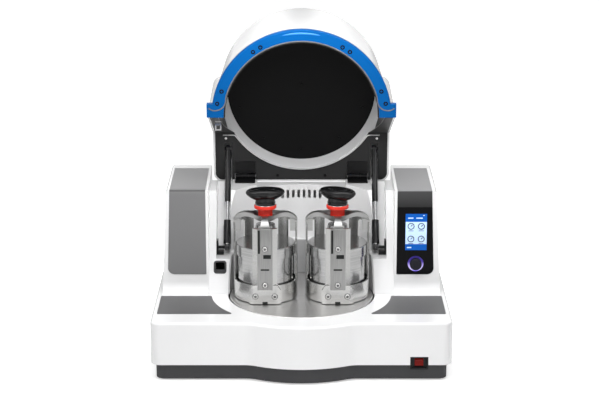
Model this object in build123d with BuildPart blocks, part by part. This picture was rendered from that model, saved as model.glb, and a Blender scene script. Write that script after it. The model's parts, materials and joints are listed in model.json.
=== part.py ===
from build123d import *
import os
from math import atan2, cos, degrees, hypot, radians, sin

os.makedirs("parts", exist_ok=True)

# Two-station planetary ball mill for the bench, with its hinged lid open.
# Millimetres, +Z up, operator at -Y. The origin is on the bench, under the middle of the
# machine's overall box. Heights are measured from the bench. Depths in the values below are
# measured from the sun wheel's axis, which stands at Y = SUN_Y.

# Driving dimensions
SUN_Y = -20.62
BODY_W = 730
BODY_FRONT = -221
BODY_BACK = 255
BODY_CORNER_R = 22
BULGE_R = 253
SHOULDER_R = 60
SHELF_Z = 150
WALL = 6
CLEAR = 0.2

# Feet, plinth and inner plates
FOOT_H = 4
PLINTH_TOP = 43
PLINTH_INSET = 11
RIM_INSET = 4
RIM_T = 3
TRAY_T = 5
BASE_T = 6
BASE_X = 356
BASE_FRONT = -188
BASE_BACK = 246
DECK_Z = 90
DECK_T = 8
DECK_X = 345
DECK_FRONT = -195
DECK_BACK = 240
POST_R = 10
POSTS = [(-330, -175), (330, -175), (-330, 220), (330, 220), (-150, -175), (150, -175), (0, 220)]

# Towers and the sloping block behind the chamber
TOWER_IN = 234
TOWER_OUT_LOW = 351
TOWER_OUT_TOP = 338
TOWER_FRONT = 13
TOWER_BACK = 248
TOWER_BEND_Z = 417
TOWER_TOP_Z = 424
TOWER_TOP_Y = 212
TOWER_FOOT_R = 27
TOWER_EDGE_R = 6
SLOPE_Y = 112
SLOPE_Z = 400
LEDGE_Z = 393
STEP_Y = 212
STEP_Z = 378
SLOPE_RUN = SLOPE_Y / (SLOPE_Z - SHELF_Z)
SLOPE_LEN = hypot(SLOPE_Y, SLOPE_Z - SHELF_Z)
SLOPE_IN = ((SLOPE_Z - SHELF_Z) / SLOPE_LEN, -SLOPE_Y / SLOPE_LEN)

# Milling chamber
CHAMBER_R = 185
CHAMBER_TOP_R = 200
LINER_T = 3.5
LINER_TOP = 240
VENT_COUNT = 8
VENT_PITCH = 14
VENT_W = 7
VENT_H = 22
VENT_Z = 359
RECESS_W = 230
RECESS_D = 8

# Lid
HINGE_Y = 226
HINGE_Z = 400
LID_OPEN_DEG = 87
LID_GAP = 4
LID_LOW_R = 218
LID_TOP_R = 208
LID_LOW_Z = 165
LID_TOP_Z = 470
LID_WALL = 5
HOOD_X = 229
HOOD_FRONT = -33
HOOD_BACK = 241
HOOD_TOP = 438
HOOD_CORNER_R = 24
RING_IN_R = 190
RING_OUT_R = 220
RING_Z = 152.5
RING_T = 15.5
RING_EAR_X = 231
RING_EAR_Y = -35
MOUTH_R = 205.2
END_Z = 446
END_T = 5
END_R = 200
PLATE_X = 223.8
PLATE_T = 4
PLATE_BACK = 235.8
SLOT_X = 190
SLOT_W = 18
SLOT_FRONT = 136

# Hinges
HINGE_X = 146
LEAF_W = 52
LEAF_T = 3.3
LEAF_FRONT = 186
LEAF_BACK = 217
KNUCKLE_R = 7
PIN_R = 3.5
PIN_PLAY = 0.05

# Gas springs: pivots in the side plane, as (depth, height)
SPRING_X = 190
SPRING_FOOT = (80, 250)
SPRING_HEAD_SHUT = (153, 410)
TUBE_R = 7.5
TUBE_LEN = 146
ROD_R = 4
ROD_LEN = 158
EYE_R = 8
EYE_HALF = 6
STUD_R = 4
POCKET_IN = 180
POCKET_OUT = 216
POCKET = [(28, 232), (96, 232), (205, 402), (205, 430), (90, 430)]

# Lid lock, in the left side strip; its root is where the striker stands on the shut lid's edge
LOCK_X = -206
LOCK_Z = 214
LOCK_ROOT = ((LOCK_Z - SHELF_Z) * SLOPE_RUN - LID_GAP, LOCK_Z)
STRIKER_W = 16
STRIKER_T = 4
STRIKER_LEN = 24
BOLT_R = 3.5
BOLT_AT = 16

# Rotating drive
SUN_R = 180
SUN_T = 12
ORBIT_R = 90
SHAFT_R = 15
HOUSING_R = 30
HOUSING_TOP = 134
BEARING_R = 23.5
FIXED_PULLEY_R = 44
PLANET_PULLEY_R = 22
PLANET_BEARING_R = 21
PLANET_SHAFT_R = 10
BELT_T = 3
TRACK_Z = {"left": 119, "right": 101}
TRACK_H = 15
DRIVE_PULLEY_R = 95
MOTOR_PULLEY_R = 30
DRIVE_Z = 60
DRIVE_H = 22
MOTOR_X = -290
MOTOR_Y = 135
MOTOR_R = 42
MOTOR_H = 190

# Milling stations
CAGE_R = 80
CAGE_T = 4
CAGE_Z = 152
CAGE_TOP = 345
CAGE_SILL_Z = 197
CAGE_RIM_Z = 333
# (direction of the middle, width, top) of each window in the jar holder's wall
HOLDER_WINDOWS = (
    (-40, 74.5, CAGE_TOP + 10),
    (-140, 74.5, CAGE_TOP + 10),
    (28, 46, CAGE_RIM_Z),
    (152, 46, CAGE_RIM_Z),
    (90, 62, CAGE_RIM_Z),
)
FRONT_PLATE_R = CAGE_R + 4
FRONT_PLATE_W = 61
FRONT_FACE_W = 38
FOOT_W = 78
JAR_R = 72
JAR_IN_R = 58
JAR_Z = 161
JAR_RIM_Z = 262
JAR_TOP = 275
LID_BOSS_TOP = 345
SPIDER_Z = 345
SADDLE_Z = 357
SADDLE_R = 24
COLLAR_R = 18
FLANGE_Z = 376.5
FLANGE_R = 28
FLANGE_T = 8.5
HUB_Z = 385.6
KNOB_Z = 401
KNOB_WIDEST_Z = 415
KNOB_TOP = 427
KNOB_TURN = {"left": 8, "right": -28}

# Controls
PANEL_X = 288
SCREEN_Z = 310
SCREEN_W = 54
SCREEN_H = 95
DIAL_Z = 227.5
DIAL_R = 15
DIAL_RING_R = 20
SWITCH_X = 285
SWITCH_Z = 47.5
SWITCH_W = 44
SWITCH_H = 33
ROCKER_R = 11
INLET_X = 300
INLET_Z = 120


def level(z):
    """Horizontal plane at height z, centred on the sun wheel's axis."""
    return Plane((0, SUN_Y, z))


def side(x):
    """Upright plane at x: local x runs back from the sun axis, local y runs up."""
    return Plane((x, SUN_Y, 0), x_dir=(0, 1, 0), z_dir=(1, 0, 0))


def facing(y):
    """Upright plane at depth y, seen from the front; extruding by a minus amount goes back."""
    return Plane((0, SUN_Y + y, 0), x_dir=(1, 0, 0), z_dir=(0, -1, 0))


# Carries the shut lid's frame, centred on the sun axis, to its open place.
OPEN = (
    Location((0, SUN_Y + HINGE_Y, HINGE_Z))
    * Location((0, 0, 0), (-LID_OPEN_DEG, 0, 0))
    * Location((0, -HINGE_Y, -HINGE_Z))
)


def lid_level(z):
    """Plane of the open lid that is horizontal at height z when the lid is shut."""
    return Plane(OPEN * Location((0, 0, z)))


def lid_side(x):
    """Side plane of the open lid at x: local x is depth and local y height with the lid shut."""
    return Plane(OPEN * Plane((x, 0, 0), x_dir=(0, 1, 0), z_dir=(1, 0, 0)).location)


def opened(point):
    """Where a (depth, height) point of the shut lid lies when the lid is open."""
    back = point[0] - HINGE_Y
    up = point[1] - HINGE_Z
    swing = radians(LID_OPEN_DEG)
    return (HINGE_Y + back * cos(swing) + up * sin(swing), HINGE_Z - back * sin(swing) + up * cos(swing))


def cabinet_outline(sketch, inset):
    """Plan outline of the cabinet, drawn in by inset: a rounded oblong with a round bulge."""
    with Locations((0, (BODY_FRONT + BODY_BACK) / 2)):
        RectangleRounded(BODY_W - 2 * inset, BODY_BACK - BODY_FRONT - 2 * inset, BODY_CORNER_R)
    Circle(BULGE_R - inset)
    shoulders = sketch.vertices().filter_by(lambda v: abs(v.X) < BULGE_R / 2 + 20 and v.Y < 0)
    fillet(shoulders, SHOULDER_R)


def slope_y(z, shift=0):
    """Depth of the sloping seat of the lid at height z."""
    return (z - SHELF_Z) * SLOPE_RUN + shift


# ---------------------------------------------------------------- feet, plinth, inner plates

with BuildPart() as feet:
    with BuildSketch(level(0)):
        with Locations((0, 15)):
            with GridLocations(600, 360, 2, 2):
                Circle(17)
    extrude(amount=FOOT_H)
    chamfer(feet.edges().group_by(Axis.Z)[0], 1)
feet.part.label = "feet"
export_step(feet.part, "parts/feet.step")

with BuildPart() as plinth:
    with BuildSketch(level(FOOT_H)) as plinth_plan:
        cabinet_outline(plinth_plan, PLINTH_INSET)
    extrude(amount=PLINTH_TOP - RIM_T - FOOT_H)
    with BuildSketch(level(PLINTH_TOP - RIM_T)) as rim_plan:
        cabinet_outline(rim_plan, RIM_INSET)
    extrude(amount=RIM_T)
    with BuildSketch(level(FOOT_H + TRAY_T)) as tray_plan:
        cabinet_outline(tray_plan, PLINTH_INSET + TRAY_T)
    extrude(amount=PLINTH_TOP, mode=Mode.SUBTRACT)
    with BuildSketch(facing(-260)):
        with Locations((SWITCH_X, SWITCH_Z)):
            Rectangle(SWITCH_W, SWITCH_H)
    extrude(amount=-80, mode=Mode.SUBTRACT)
plinth.part.label = "plinth"
export_step(plinth.part, "parts/plinth.step")

with BuildPart() as base_frame:
    with BuildSketch(level(PLINTH_TOP)):
        with Locations((0, (BASE_FRONT + BASE_BACK) / 2)):
            RectangleRounded(2 * BASE_X, BASE_BACK - BASE_FRONT, 14)
    extrude(amount=BASE_T)
    with BuildSketch(level(PLINTH_TOP)):
        with Locations(*POSTS):
            Circle(POST_R)
    extrude(amount=DECK_Z - PLINTH_TOP)
base_frame.part.label = "base_frame"
export_step(base_frame.part, "parts/base_frame.step")

with BuildPart() as deck_plate:
    with BuildSketch(level(DECK_Z)):
        with Locations((0, (DECK_FRONT + DECK_BACK) / 2)):
            RectangleRounded(2 * DECK_X, DECK_BACK - DECK_FRONT, 14)
        Circle(HOUSING_R + CLEAR / 4, mode=Mode.SUBTRACT)
        with Locations((MOTOR_X, MOTOR_Y)):
            Circle(18, mode=Mode.SUBTRACT)
    extrude(amount=DECK_T)
deck_plate.part.label = "deck_plate"
export_step(deck_plate.part, "parts/deck_plate.step")

# ---------------------------------------------------------------- housing

INNER_SLOPE = WALL / SLOPE_IN[0]
CAVITY_TOP = STEP_Z - WALL - 2
with BuildPart() as cavity:
    with BuildSketch(level(PLINTH_TOP - 1)) as cavity_plan:
        cabinet_outline(cavity_plan, WALL)
    extrude(amount=SHELF_Z - WALL - PLINTH_TOP + 1)
    for hand in (-1, 1):
        with BuildSketch(facing(TOWER_FRONT + WALL)):
            Polygon(
                (hand * (TOWER_IN + WALL), SHELF_Z - WALL - 1),
                (hand * (TOWER_OUT_LOW - WALL), SHELF_Z - WALL - 1),
                (hand * (TOWER_OUT_TOP - WALL), TOWER_BEND_Z - WALL),
                (hand * (TOWER_IN + WALL), TOWER_BEND_Z - WALL),
                align=None,
            )
        extrude(amount=TOWER_FRONT - TOWER_BACK + 2 * WALL)
    with BuildSketch(side(-TOWER_IN - WALL - 1)):
        Polygon(
            (slope_y(SHELF_Z - WALL - 1, INNER_SLOPE), SHELF_Z - WALL - 1),
            (slope_y(LINER_TOP - 14, INNER_SLOPE), LINER_TOP - 14),
            (TOWER_BACK - WALL, LINER_TOP - 14),
            (TOWER_BACK - WALL, SHELF_Z - WALL - 1),
            align=None,
        )
    extrude(amount=2 * (TOWER_IN + WALL + 1))
    with BuildSketch(side(-POCKET_IN + WALL)):
        Polygon(
            (slope_y(SHELF_Z - WALL - 1, INNER_SLOPE), SHELF_Z - WALL - 1),
            (slope_y(CAVITY_TOP, INNER_SLOPE), CAVITY_TOP),
            (TOWER_BACK - WALL, CAVITY_TOP),
            (TOWER_BACK - WALL, SHELF_Z - WALL - 1),
            align=None,
        )
    extrude(amount=2 * (POCKET_IN - WALL))
    with BuildSketch(level(SHELF_Z - WALL)):
        Circle(CHAMBER_R + WALL)
    extrude(amount=LINER_TOP - SHELF_Z, mode=Mode.SUBTRACT)
    with BuildSketch(level(LINER_TOP - WALL)):
        Circle(CHAMBER_TOP_R + WALL)
    extrude(amount=TOWER_TOP_Z - LINER_TOP, mode=Mode.SUBTRACT)

with BuildPart() as housing:
    with BuildSketch(level(PLINTH_TOP)) as housing_plan:
        cabinet_outline(housing_plan, 0)
    extrude(amount=SHELF_Z - PLINTH_TOP)
    fillet(housing.faces().sort_by(Axis.Z)[-1].edges(), 6)
    for hand in (-1, 1):
        with BuildSketch(facing(TOWER_FRONT)):
            Polygon(
                (hand * TOWER_IN, SHELF_Z - WALL),
                (hand * TOWER_OUT_LOW, SHELF_Z - WALL),
                (hand * TOWER_OUT_TOP, TOWER_TOP_Z),
                (hand * TOWER_IN, TOWER_TOP_Z),
                align=None,
            )
        extrude(amount=TOWER_FRONT - TOWER_BACK)
    with BuildSketch(side(-BODY_W / 2)):
        Polygon(
            (TOWER_FRONT - 1, TOWER_BEND_Z),
            (TOWER_TOP_Y, TOWER_TOP_Z),
            (TOWER_FRONT - 1, TOWER_TOP_Z + 1),
            align=None,
        )
    extrude(amount=BODY_W, mode=Mode.SUBTRACT)
    top_edges = housing.edges().filter_by(
        lambda e: abs(e.center().X) > TOWER_OUT_TOP - 2 and e.center().Z > TOWER_BEND_Z - 2
    )
    fillet(top_edges, TOWER_EDGE_R)
    for hand in (-1, 1):
        with BuildSketch(side(min(hand * TOWER_IN, hand * TOWER_OUT_LOW))):
            with Locations((TOWER_FRONT - TOWER_FOOT_R / 2, SHELF_Z + TOWER_FOOT_R / 2)):
                Rectangle(TOWER_FOOT_R, TOWER_FOOT_R)
            with Locations((TOWER_FRONT - TOWER_FOOT_R, SHELF_Z + TOWER_FOOT_R)):
                Circle(TOWER_FOOT_R, mode=Mode.SUBTRACT)
        extrude(amount=TOWER_OUT_LOW - TOWER_IN - 0.5)
    with BuildSketch(side(-TOWER_IN)):
        Polygon(
            (slope_y(SHELF_Z - WALL), SHELF_Z - WALL),
            (slope_y(LEDGE_Z), LEDGE_Z),
            (STEP_Y, LEDGE_Z),
            (STEP_Y, STEP_Z),
            (TOWER_BACK, STEP_Z),
            (TOWER_BACK, SHELF_Z - WALL),
            align=None,
        )
    extrude(amount=2 * TOWER_IN)
    add(cavity.part, mode=Mode.SUBTRACT)
    with BuildSketch(level(SHELF_Z - 2 * WALL)):
        Circle(CHAMBER_R)
    extrude(amount=LINER_TOP - SHELF_Z + 2 * WALL, mode=Mode.SUBTRACT)
    with BuildSketch(level(LINER_TOP)):
        Circle(CHAMBER_TOP_R)
    extrude(amount=TOWER_TOP_Z - LINER_TOP, mode=Mode.SUBTRACT)
    for x in (-POCKET_OUT, POCKET_IN):
        with BuildSketch(side(x)):
            Polygon(*POCKET, align=None)
        extrude(amount=POCKET_OUT - POCKET_IN, mode=Mode.SUBTRACT)
    with BuildSketch(facing(STEP_Y + 1)):
        with Locations((0, LEDGE_Z)):
            Rectangle(RECESS_W, 2 * RECESS_D)
    extrude(amount=STEP_Y / 2, mode=Mode.SUBTRACT)
    with BuildSketch(facing(CHAMBER_R)):
        with Locations((0, VENT_Z)):
            with GridLocations(VENT_PITCH, 1, VENT_COUNT, 1):
                RectangleRounded(VENT_W, VENT_H, 2)
    extrude(amount=-32, mode=Mode.SUBTRACT)
    LOCK_PLANE = Plane(
        (0, SUN_Y + LOCK_ROOT[0], LOCK_ROOT[1]), x_dir=(1, 0, 0), z_dir=(0, -SLOPE_IN[0], -SLOPE_IN[1])
    )
    with BuildSketch(LOCK_PLANE):
        with Locations((LOCK_X, 0)):
            RectangleRounded(28, 29, 5)
    extrude(amount=-16, mode=Mode.SUBTRACT)
    with BuildSketch(facing(BODY_FRONT - 40)):
        with Locations((SWITCH_X, SWITCH_Z)):
            Rectangle(SWITCH_W, SWITCH_H)
    extrude(amount=-60, mode=Mode.SUBTRACT)
    with BuildSketch(facing(BODY_BACK - 20)):
        with Locations((INLET_X, INLET_Z)):
            Rectangle(48, 28)
        with Locations((-285, 330)):
            with GridLocations(1, 12, 1, 7):
                SlotOverall(78, 6)
    extrude(amount=-40, mode=Mode.SUBTRACT)


def inlay(front_points, corner):
    """Sheet let into a tower: front_points outline it from the front, and it wraps onto the top."""
    with BuildSketch(facing(TOWER_FRONT - 2)) as face:
        Polygon(*front_points, align=None)
        fillet(face.vertices().sort_by(Axis.Y)[0:2].sort_by(lambda v: -abs(v.X))[0], corner)
    extrude(face.sketch, amount=TOWER_FRONT - TOWER_TOP_Y - 2)
    with BuildSketch(side(-BODY_W / 2)) as wrap:
        Polygon(
            (TOWER_FRONT - 1, SHELF_Z),
            (TOWER_FRONT - 1, TOWER_BEND_Z + 1),
            (TOWER_TOP_Y, TOWER_TOP_Z + 1),
            (TOWER_TOP_Y, TOWER_TOP_Z - 2),
            (TOWER_FRONT + 2, TOWER_BEND_Z - 2),
            (TOWER_FRONT + 2, SHELF_Z),
            align=None,
        )
    extrude(wrap.sketch, amount=BODY_W, mode=Mode.INTERSECT)


with BuildPart() as control_panel:
    inlay([(240, 199), (334, 199), (326, 430), (240, 430)], 16)
    with BuildSketch(facing(TOWER_FRONT - 2)):
        with Locations((PANEL_X, SCREEN_Z)):
            Rectangle(SCREEN_W, SCREEN_H)
        with Locations((PANEL_X, DIAL_Z)):
            Circle(DIAL_RING_R)
    extrude(amount=-6, mode=Mode.SUBTRACT)
control_panel.part.label = "control_panel"
export_step(control_panel.part, "parts/control_panel.step")

# Grey sheets are let into the left tower and, hollowed round the sun wheel, into the shelf.
PAD_T = 2
PAD_PROUD = 1
with BuildPart() as inlay_sheets:
    inlay([(-337, 199), (-240, 199), (-240, 430), (-329, 430)], 16)
    with BuildSketch(level(SHELF_Z + PAD_PROUD - PAD_T)) as pad_plan:
        for middle in (-246.5, 246.5):
            with Locations((middle, -84.5)):
                Rectangle(213, 137)
        Circle(226, mode=Mode.SUBTRACT)
        fillet(pad_plan.vertices(), 4)
    extrude(amount=PAD_T)
inlay_sheets.part.label = "inlay_sheets"
export_step(inlay_sheets.part, "parts/inlay_sheets.step")

with BuildPart() as housing_shell:
    add(housing.part)
    add(inlay_sheets.part, mode=Mode.SUBTRACT)
    add(control_panel.part, mode=Mode.SUBTRACT)
    with BuildSketch(facing(TOWER_FRONT - 2)):
        with Locations((PANEL_X, SCREEN_Z)):
            Rectangle(SCREEN_W, SCREEN_H)
        with Locations((PANEL_X, DIAL_Z)):
            Circle(DIAL_RING_R)
    extrude(amount=-WALL - 4, mode=Mode.SUBTRACT)
housing_shell.part.label = "housing_shell"
export_step(housing_shell.part, "parts/housing_shell.step")

with BuildPart() as chamber_liner:
    with BuildSketch(level(SHELF_Z)):
        Circle(CHAMBER_R)
        Circle(CHAMBER_R - LINER_T, mode=Mode.SUBTRACT)
    extrude(amount=LINER_TOP - SHELF_Z)
    with BuildSketch(side(-CHAMBER_R - 5)):
        Polygon(
            (slope_y(SHELF_Z - 5, 1), SHELF_Z - 5),
            (slope_y(LINER_TOP + 5, 1), LINER_TOP + 5),
            (CHAMBER_R + 5, LINER_TOP + 5),
            (CHAMBER_R + 5, SHELF_Z - 5),
            align=None,
        )
    extrude(amount=2 * CHAMBER_R + 10, mode=Mode.INTERSECT)
chamber_liner.part.label = "chamber_liner"
export_step(chamber_liner.part, "parts/chamber_liner.step")

# ---------------------------------------------------------------- controls

with BuildPart() as screen:
    with BuildSketch(facing(TOWER_FRONT - 1)):
        with Locations((PANEL_X, SCREEN_Z)):
            Rectangle(SCREEN_W - CLEAR, SCREEN_H - CLEAR)
    extrude(amount=-WALL)
screen.part.label = "screen"
export_step(screen.part, "parts/screen.step")

with BuildPart() as dial_ring:
    with BuildSketch(facing(TOWER_FRONT - 2.5)):
        with Locations((PANEL_X, DIAL_Z)):
            Circle(DIAL_RING_R - CLEAR)
            Circle(DIAL_R + 0.6, mode=Mode.SUBTRACT)
    extrude(amount=-WALL)
    with BuildSketch(facing(TOWER_FRONT + WALL - 2.5)):
        with Locations((PANEL_X, DIAL_Z)):
            Circle(DIAL_RING_R - CLEAR)
            Circle(3 + PIN_PLAY, mode=Mode.SUBTRACT)
    extrude(amount=-4)
dial_ring.part.label = "dial_ring"
export_step(dial_ring.part, "parts/dial_ring.step")

DIAL_FACE = TOWER_FRONT - 13
with BuildPart() as control_dial:
    with BuildSketch(facing(DIAL_FACE)):
        with Locations((PANEL_X, DIAL_Z)):
            Circle(DIAL_R)
    extrude(amount=-13)
    fillet(control_dial.edges().sort_by(Axis.Y)[0], 2)
    with BuildSketch(facing(TOWER_FRONT - 1)):
        with Locations((PANEL_X, DIAL_Z)):
            Circle(3)
    extrude(amount=-16)
control_dial.part.label = "control_dial"
export_step(control_dial.part, "parts/control_dial.step")

ROCKER_Y = BODY_FRONT + 15
with BuildPart() as switch_frame:
    with BuildSketch(facing(BODY_FRONT + 2)):
        with Locations((SWITCH_X, SWITCH_Z)):
            Rectangle(SWITCH_W - CLEAR, SWITCH_H - CLEAR)
    extrude(amount=-28)
    with BuildSketch(facing(BODY_FRONT + 1)):
        with Locations((SWITCH_X, SWITCH_Z)):
            Rectangle(SWITCH_W - 7, SWITCH_H - 7)
    extrude(amount=-7, mode=Mode.SUBTRACT)
    with BuildSketch(side(SWITCH_X - 11)):
        with Locations((ROCKER_Y, SWITCH_Z)):
            Circle(ROCKER_R + 0.6)
        with Locations((ROCKER_Y - 5, SWITCH_Z)):
            Rectangle(10, 2 * ROCKER_R + 1.2)
    extrude(amount=22, mode=Mode.SUBTRACT)
switch_frame.part.label = "switch_frame"
export_step(switch_frame.part, "parts/switch_frame.step")

with BuildPart() as rocker:
    with BuildSketch(side(SWITCH_X - 10.5)):
        with Locations((ROCKER_Y, SWITCH_Z)):
            Circle(ROCKER_R)
        with BuildLine():
            Polyline(
                (ROCKER_Y - 12, SWITCH_Z - 12),
                (ROCKER_Y - 7.5, SWITCH_Z - 12),
                (ROCKER_Y - 5.5, SWITCH_Z),
                (ROCKER_Y - 10.4, SWITCH_Z + 12),
                (ROCKER_Y - 12, SWITCH_Z + 12),
                close=True,
            )
        make_face(mode=Mode.SUBTRACT)
    extrude(amount=21)
rocker.part.label = "rocker"
export_step(rocker.part, "parts/rocker.step")

# ---------------------------------------------------------------- parts inside the housing

with BuildPart() as inverter:
    with BuildSketch(level(DECK_Z + DECK_T)):
        with Locations((292, 155)):
            RectangleRounded(76, 110, 4)
    extrude(amount=200)
    with BuildSketch(level(DECK_Z + DECK_T + 20)):
        with Locations((253, 155)):
            with GridLocations(1, 12, 1, 8):
                Rectangle(10, 6)
    extrude(amount=160, mode=Mode.SUBTRACT)
inverter.part.label = "inverter"
export_step(inverter.part, "parts/inverter.step")

with BuildPart() as control_board:
    with BuildSketch(facing(TOWER_FRONT + WALL + 12)):
        with Locations((PANEL_X, 300)):
            Rectangle(84, 180)
    extrude(amount=-2)
    with BuildSketch(facing(TOWER_FRONT + WALL + 12)):
        with Locations((PANEL_X, 300)):
            with GridLocations(72, 166, 2, 2):
                Circle(4)
    extrude(amount=12)
    with BuildSketch(facing(TOWER_FRONT + WALL + 14)):
        with Locations((PANEL_X, 320), (PANEL_X, 262)):
            Rectangle(50, 28)
    extrude(amount=-12)
control_board.part.label = "control_board"
export_step(control_board.part, "parts/control_board.step")

with BuildPart() as power_inlet:
    with BuildSketch(facing(BODY_BACK + 3)):
        with Locations((INLET_X, INLET_Z)):
            RectangleRounded(60, 36, 3)
    extrude(amount=3)
    with BuildSketch(facing(BODY_BACK)):
        with Locations((INLET_X, INLET_Z)):
            Rectangle(48 - CLEAR, 28 - CLEAR)
    extrude(amount=30)
    with BuildSketch(facing(BODY_BACK + 3)):
        with Locations((INLET_X, INLET_Z)):
            RectangleRounded(25, 17, 3)
    extrude(amount=20, mode=Mode.SUBTRACT)
    with BuildSketch(facing(BODY_BACK - 17)):
        with Locations((INLET_X - 7, INLET_Z - 2), (INLET_X + 7, INLET_Z - 2), (INLET_X, INLET_Z + 3)):
            Rectangle(2, 5)
    extrude(amount=-14)
power_inlet.part.label = "power_inlet"
export_step(power_inlet.part, "parts/power_inlet.step")

# ---------------------------------------------------------------- main drive

# The bearing housing is one casting with the two fixed belt tracks round its neck.
with BuildPart() as bearing_housing:
    with BuildSketch(level(DECK_Z - 4)):
        Circle(HOUSING_R)
    extrude(amount=HOUSING_TOP - DECK_Z + 4)
    with BuildSketch(level(DECK_Z + DECK_T)):
        Circle(FIXED_PULLEY_R + 3.5)
    extrude(amount=HOUSING_TOP - DECK_Z - DECK_T)
    for track_z in TRACK_Z.values():
        with BuildSketch(level(track_z)):
            Circle(FIXED_PULLEY_R + 8)
            Circle(FIXED_PULLEY_R, mode=Mode.SUBTRACT)
        extrude(amount=TRACK_H - 1, mode=Mode.SUBTRACT)
    with BuildSketch(level(DECK_Z - 4)):
        Circle(BEARING_R)
    extrude(amount=HOUSING_TOP, mode=Mode.SUBTRACT)
bearing_housing.part.label = "bearing_housing"
export_step(bearing_housing.part, "parts/bearing_housing.step")

with BuildPart() as main_bearings:
    for bearing_z in (DECK_Z - 2, DECK_Z + 30):
        with BuildSketch(level(bearing_z)):
            Circle(BEARING_R - 0.02)
            Circle(SHAFT_R + PIN_PLAY, mode=Mode.SUBTRACT)
        extrude(amount=12)
main_bearings.part.label = "main_bearings"
export_step(main_bearings.part, "parts/main_bearings.step")

with BuildPart() as main_shaft:
    with BuildSketch(level(DRIVE_Z - 4)):
        Circle(SHAFT_R)
    extrude(amount=SHELF_Z - SUN_T - DRIVE_Z + 4)
    with BuildSketch(level(DRIVE_Z - 4)):
        Circle(SHAFT_R + 7)
    extrude(amount=4)
    with BuildSketch(level(SHELF_Z - SUN_T - 3)):
        Circle(40)
    extrude(amount=3)
main_shaft.part.label = "main_shaft"
export_step(main_shaft.part, "parts/main_shaft.step")

with BuildPart() as sun_wheel:
    with BuildSketch(level(SHELF_Z - SUN_T)):
        Circle(SUN_R)
        with GridLocations(2 * ORBIT_R, 1, 2, 1):
            Circle(PLANET_BEARING_R, mode=Mode.SUBTRACT)
    extrude(amount=SUN_T)
    fillet(sun_wheel.edges().filter_by(lambda e: e.length > 6 * SUN_R).sort_by(Axis.Z)[-1], 2)
sun_wheel.part.label = "sun_wheel"
export_step(sun_wheel.part, "parts/sun_wheel.step")

with BuildPart() as planet_bearings:
    with BuildSketch(level(SHELF_Z - SUN_T)):
        with GridLocations(2 * ORBIT_R, 1, 2, 1):
            Circle(PLANET_BEARING_R - 0.02)
            Circle(PLANET_SHAFT_R + PIN_PLAY, mode=Mode.SUBTRACT)
    extrude(amount=SUN_T)
planet_bearings.part.label = "planet_bearings"
export_step(planet_bearings.part, "parts/planet_bearings.step")

with BuildPart() as drive_pulley:
    with BuildSketch(level(DRIVE_Z)):
        Circle(DRIVE_PULLEY_R + 4)
        Circle(SHAFT_R + 0.02, mode=Mode.SUBTRACT)
        with PolarLocations(54, 6):
            Circle(17, mode=Mode.SUBTRACT)
    extrude(amount=DRIVE_H)
    with BuildSketch(level(DRIVE_Z + 3)):
        Circle(DRIVE_PULLEY_R + 8)
        Circle(DRIVE_PULLEY_R, mode=Mode.SUBTRACT)
    extrude(amount=DRIVE_H - 6, mode=Mode.SUBTRACT)
drive_pulley.part.label = "drive_pulley"
export_step(drive_pulley.part, "parts/drive_pulley.step")


def belt_loop(plane, far, near_r, far_r, thickness, height):
    """Belt round a pulley at the plane's origin and another at far."""
    for radius_up, mode in ((thickness, Mode.ADD), (0, Mode.SUBTRACT)):
        with BuildSketch(plane) as loop:
            Circle(near_r + radius_up)
            with Locations(far):
                Circle(far_r + radius_up)
            make_hull()
        extrude(loop.sketch, amount=height, mode=mode)


with BuildPart() as drive_belt:
    belt_loop(
        level(DRIVE_Z + 4),
        (MOTOR_X, MOTOR_Y),
        DRIVE_PULLEY_R + CLEAR,
        MOTOR_PULLEY_R + CLEAR,
        BELT_T,
        DRIVE_H - 8,
    )
drive_belt.part.label = "drive_belt"
export_step(drive_belt.part, "parts/drive_belt.step")

with BuildPart() as motor:
    with BuildSketch(level(DECK_Z + DECK_T)):
        with Locations((MOTOR_X, MOTOR_Y)):
            RectangleRounded(92, 92, 8)
    extrude(amount=9)
    with BuildSketch(level(DECK_Z + DECK_T + 9)):
        with Locations((MOTOR_X, MOTOR_Y)):
            Circle(MOTOR_R - 6)
            with PolarLocations(0, 24):
                with Locations((MOTOR_R - 6, 0)):
                    Rectangle(12, 2.4)
    extrude(amount=MOTOR_H - 30)
    with BuildSketch(level(DECK_Z + DECK_T + MOTOR_H - 21)):
        with Locations((MOTOR_X, MOTOR_Y)):
            Circle(MOTOR_R)
    extrude(amount=30, taper=6)
    with BuildSketch(level(DECK_Z)):
        with Locations((MOTOR_X, MOTOR_Y)):
            Circle(9 + PIN_PLAY)
    extrude(amount=60, mode=Mode.SUBTRACT)
motor.part.label = "motor"
export_step(motor.part, "parts/motor.step")

with BuildPart() as motor_rotor:
    with BuildSketch(level(DRIVE_Z - 2)):
        with Locations((MOTOR_X, MOTOR_Y)):
            Circle(9)
    extrude(amount=80)
    with BuildSketch(level(DRIVE_Z)):
        with Locations((MOTOR_X, MOTOR_Y)):
            Circle(MOTOR_PULLEY_R + 4)
    extrude(amount=DRIVE_H)
    with BuildSketch(level(DRIVE_Z + 3)):
        with Locations((MOTOR_X, MOTOR_Y)):
            Circle(MOTOR_PULLEY_R + 8)
            Circle(MOTOR_PULLEY_R, mode=Mode.SUBTRACT)
    extrude(amount=DRIVE_H - 6, mode=Mode.SUBTRACT)
motor_rotor.part.label = "motor_rotor"
export_step(motor_rotor.part, "parts/motor_rotor.step")

with BuildPart() as planet_belts:
    for hand, track_z in ((-1, TRACK_Z["left"]), (1, TRACK_Z["right"])):
        belt_loop(
            level(track_z + 1),
            (hand * ORBIT_R, 0),
            FIXED_PULLEY_R + CLEAR,
            PLANET_PULLEY_R + CLEAR,
            BELT_T,
            TRACK_H - 3,
        )
planet_belts.part.label = "planet_belts"
export_step(planet_belts.part, "parts/planet_belts.step")

# ---------------------------------------------------------------- milling stations

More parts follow.
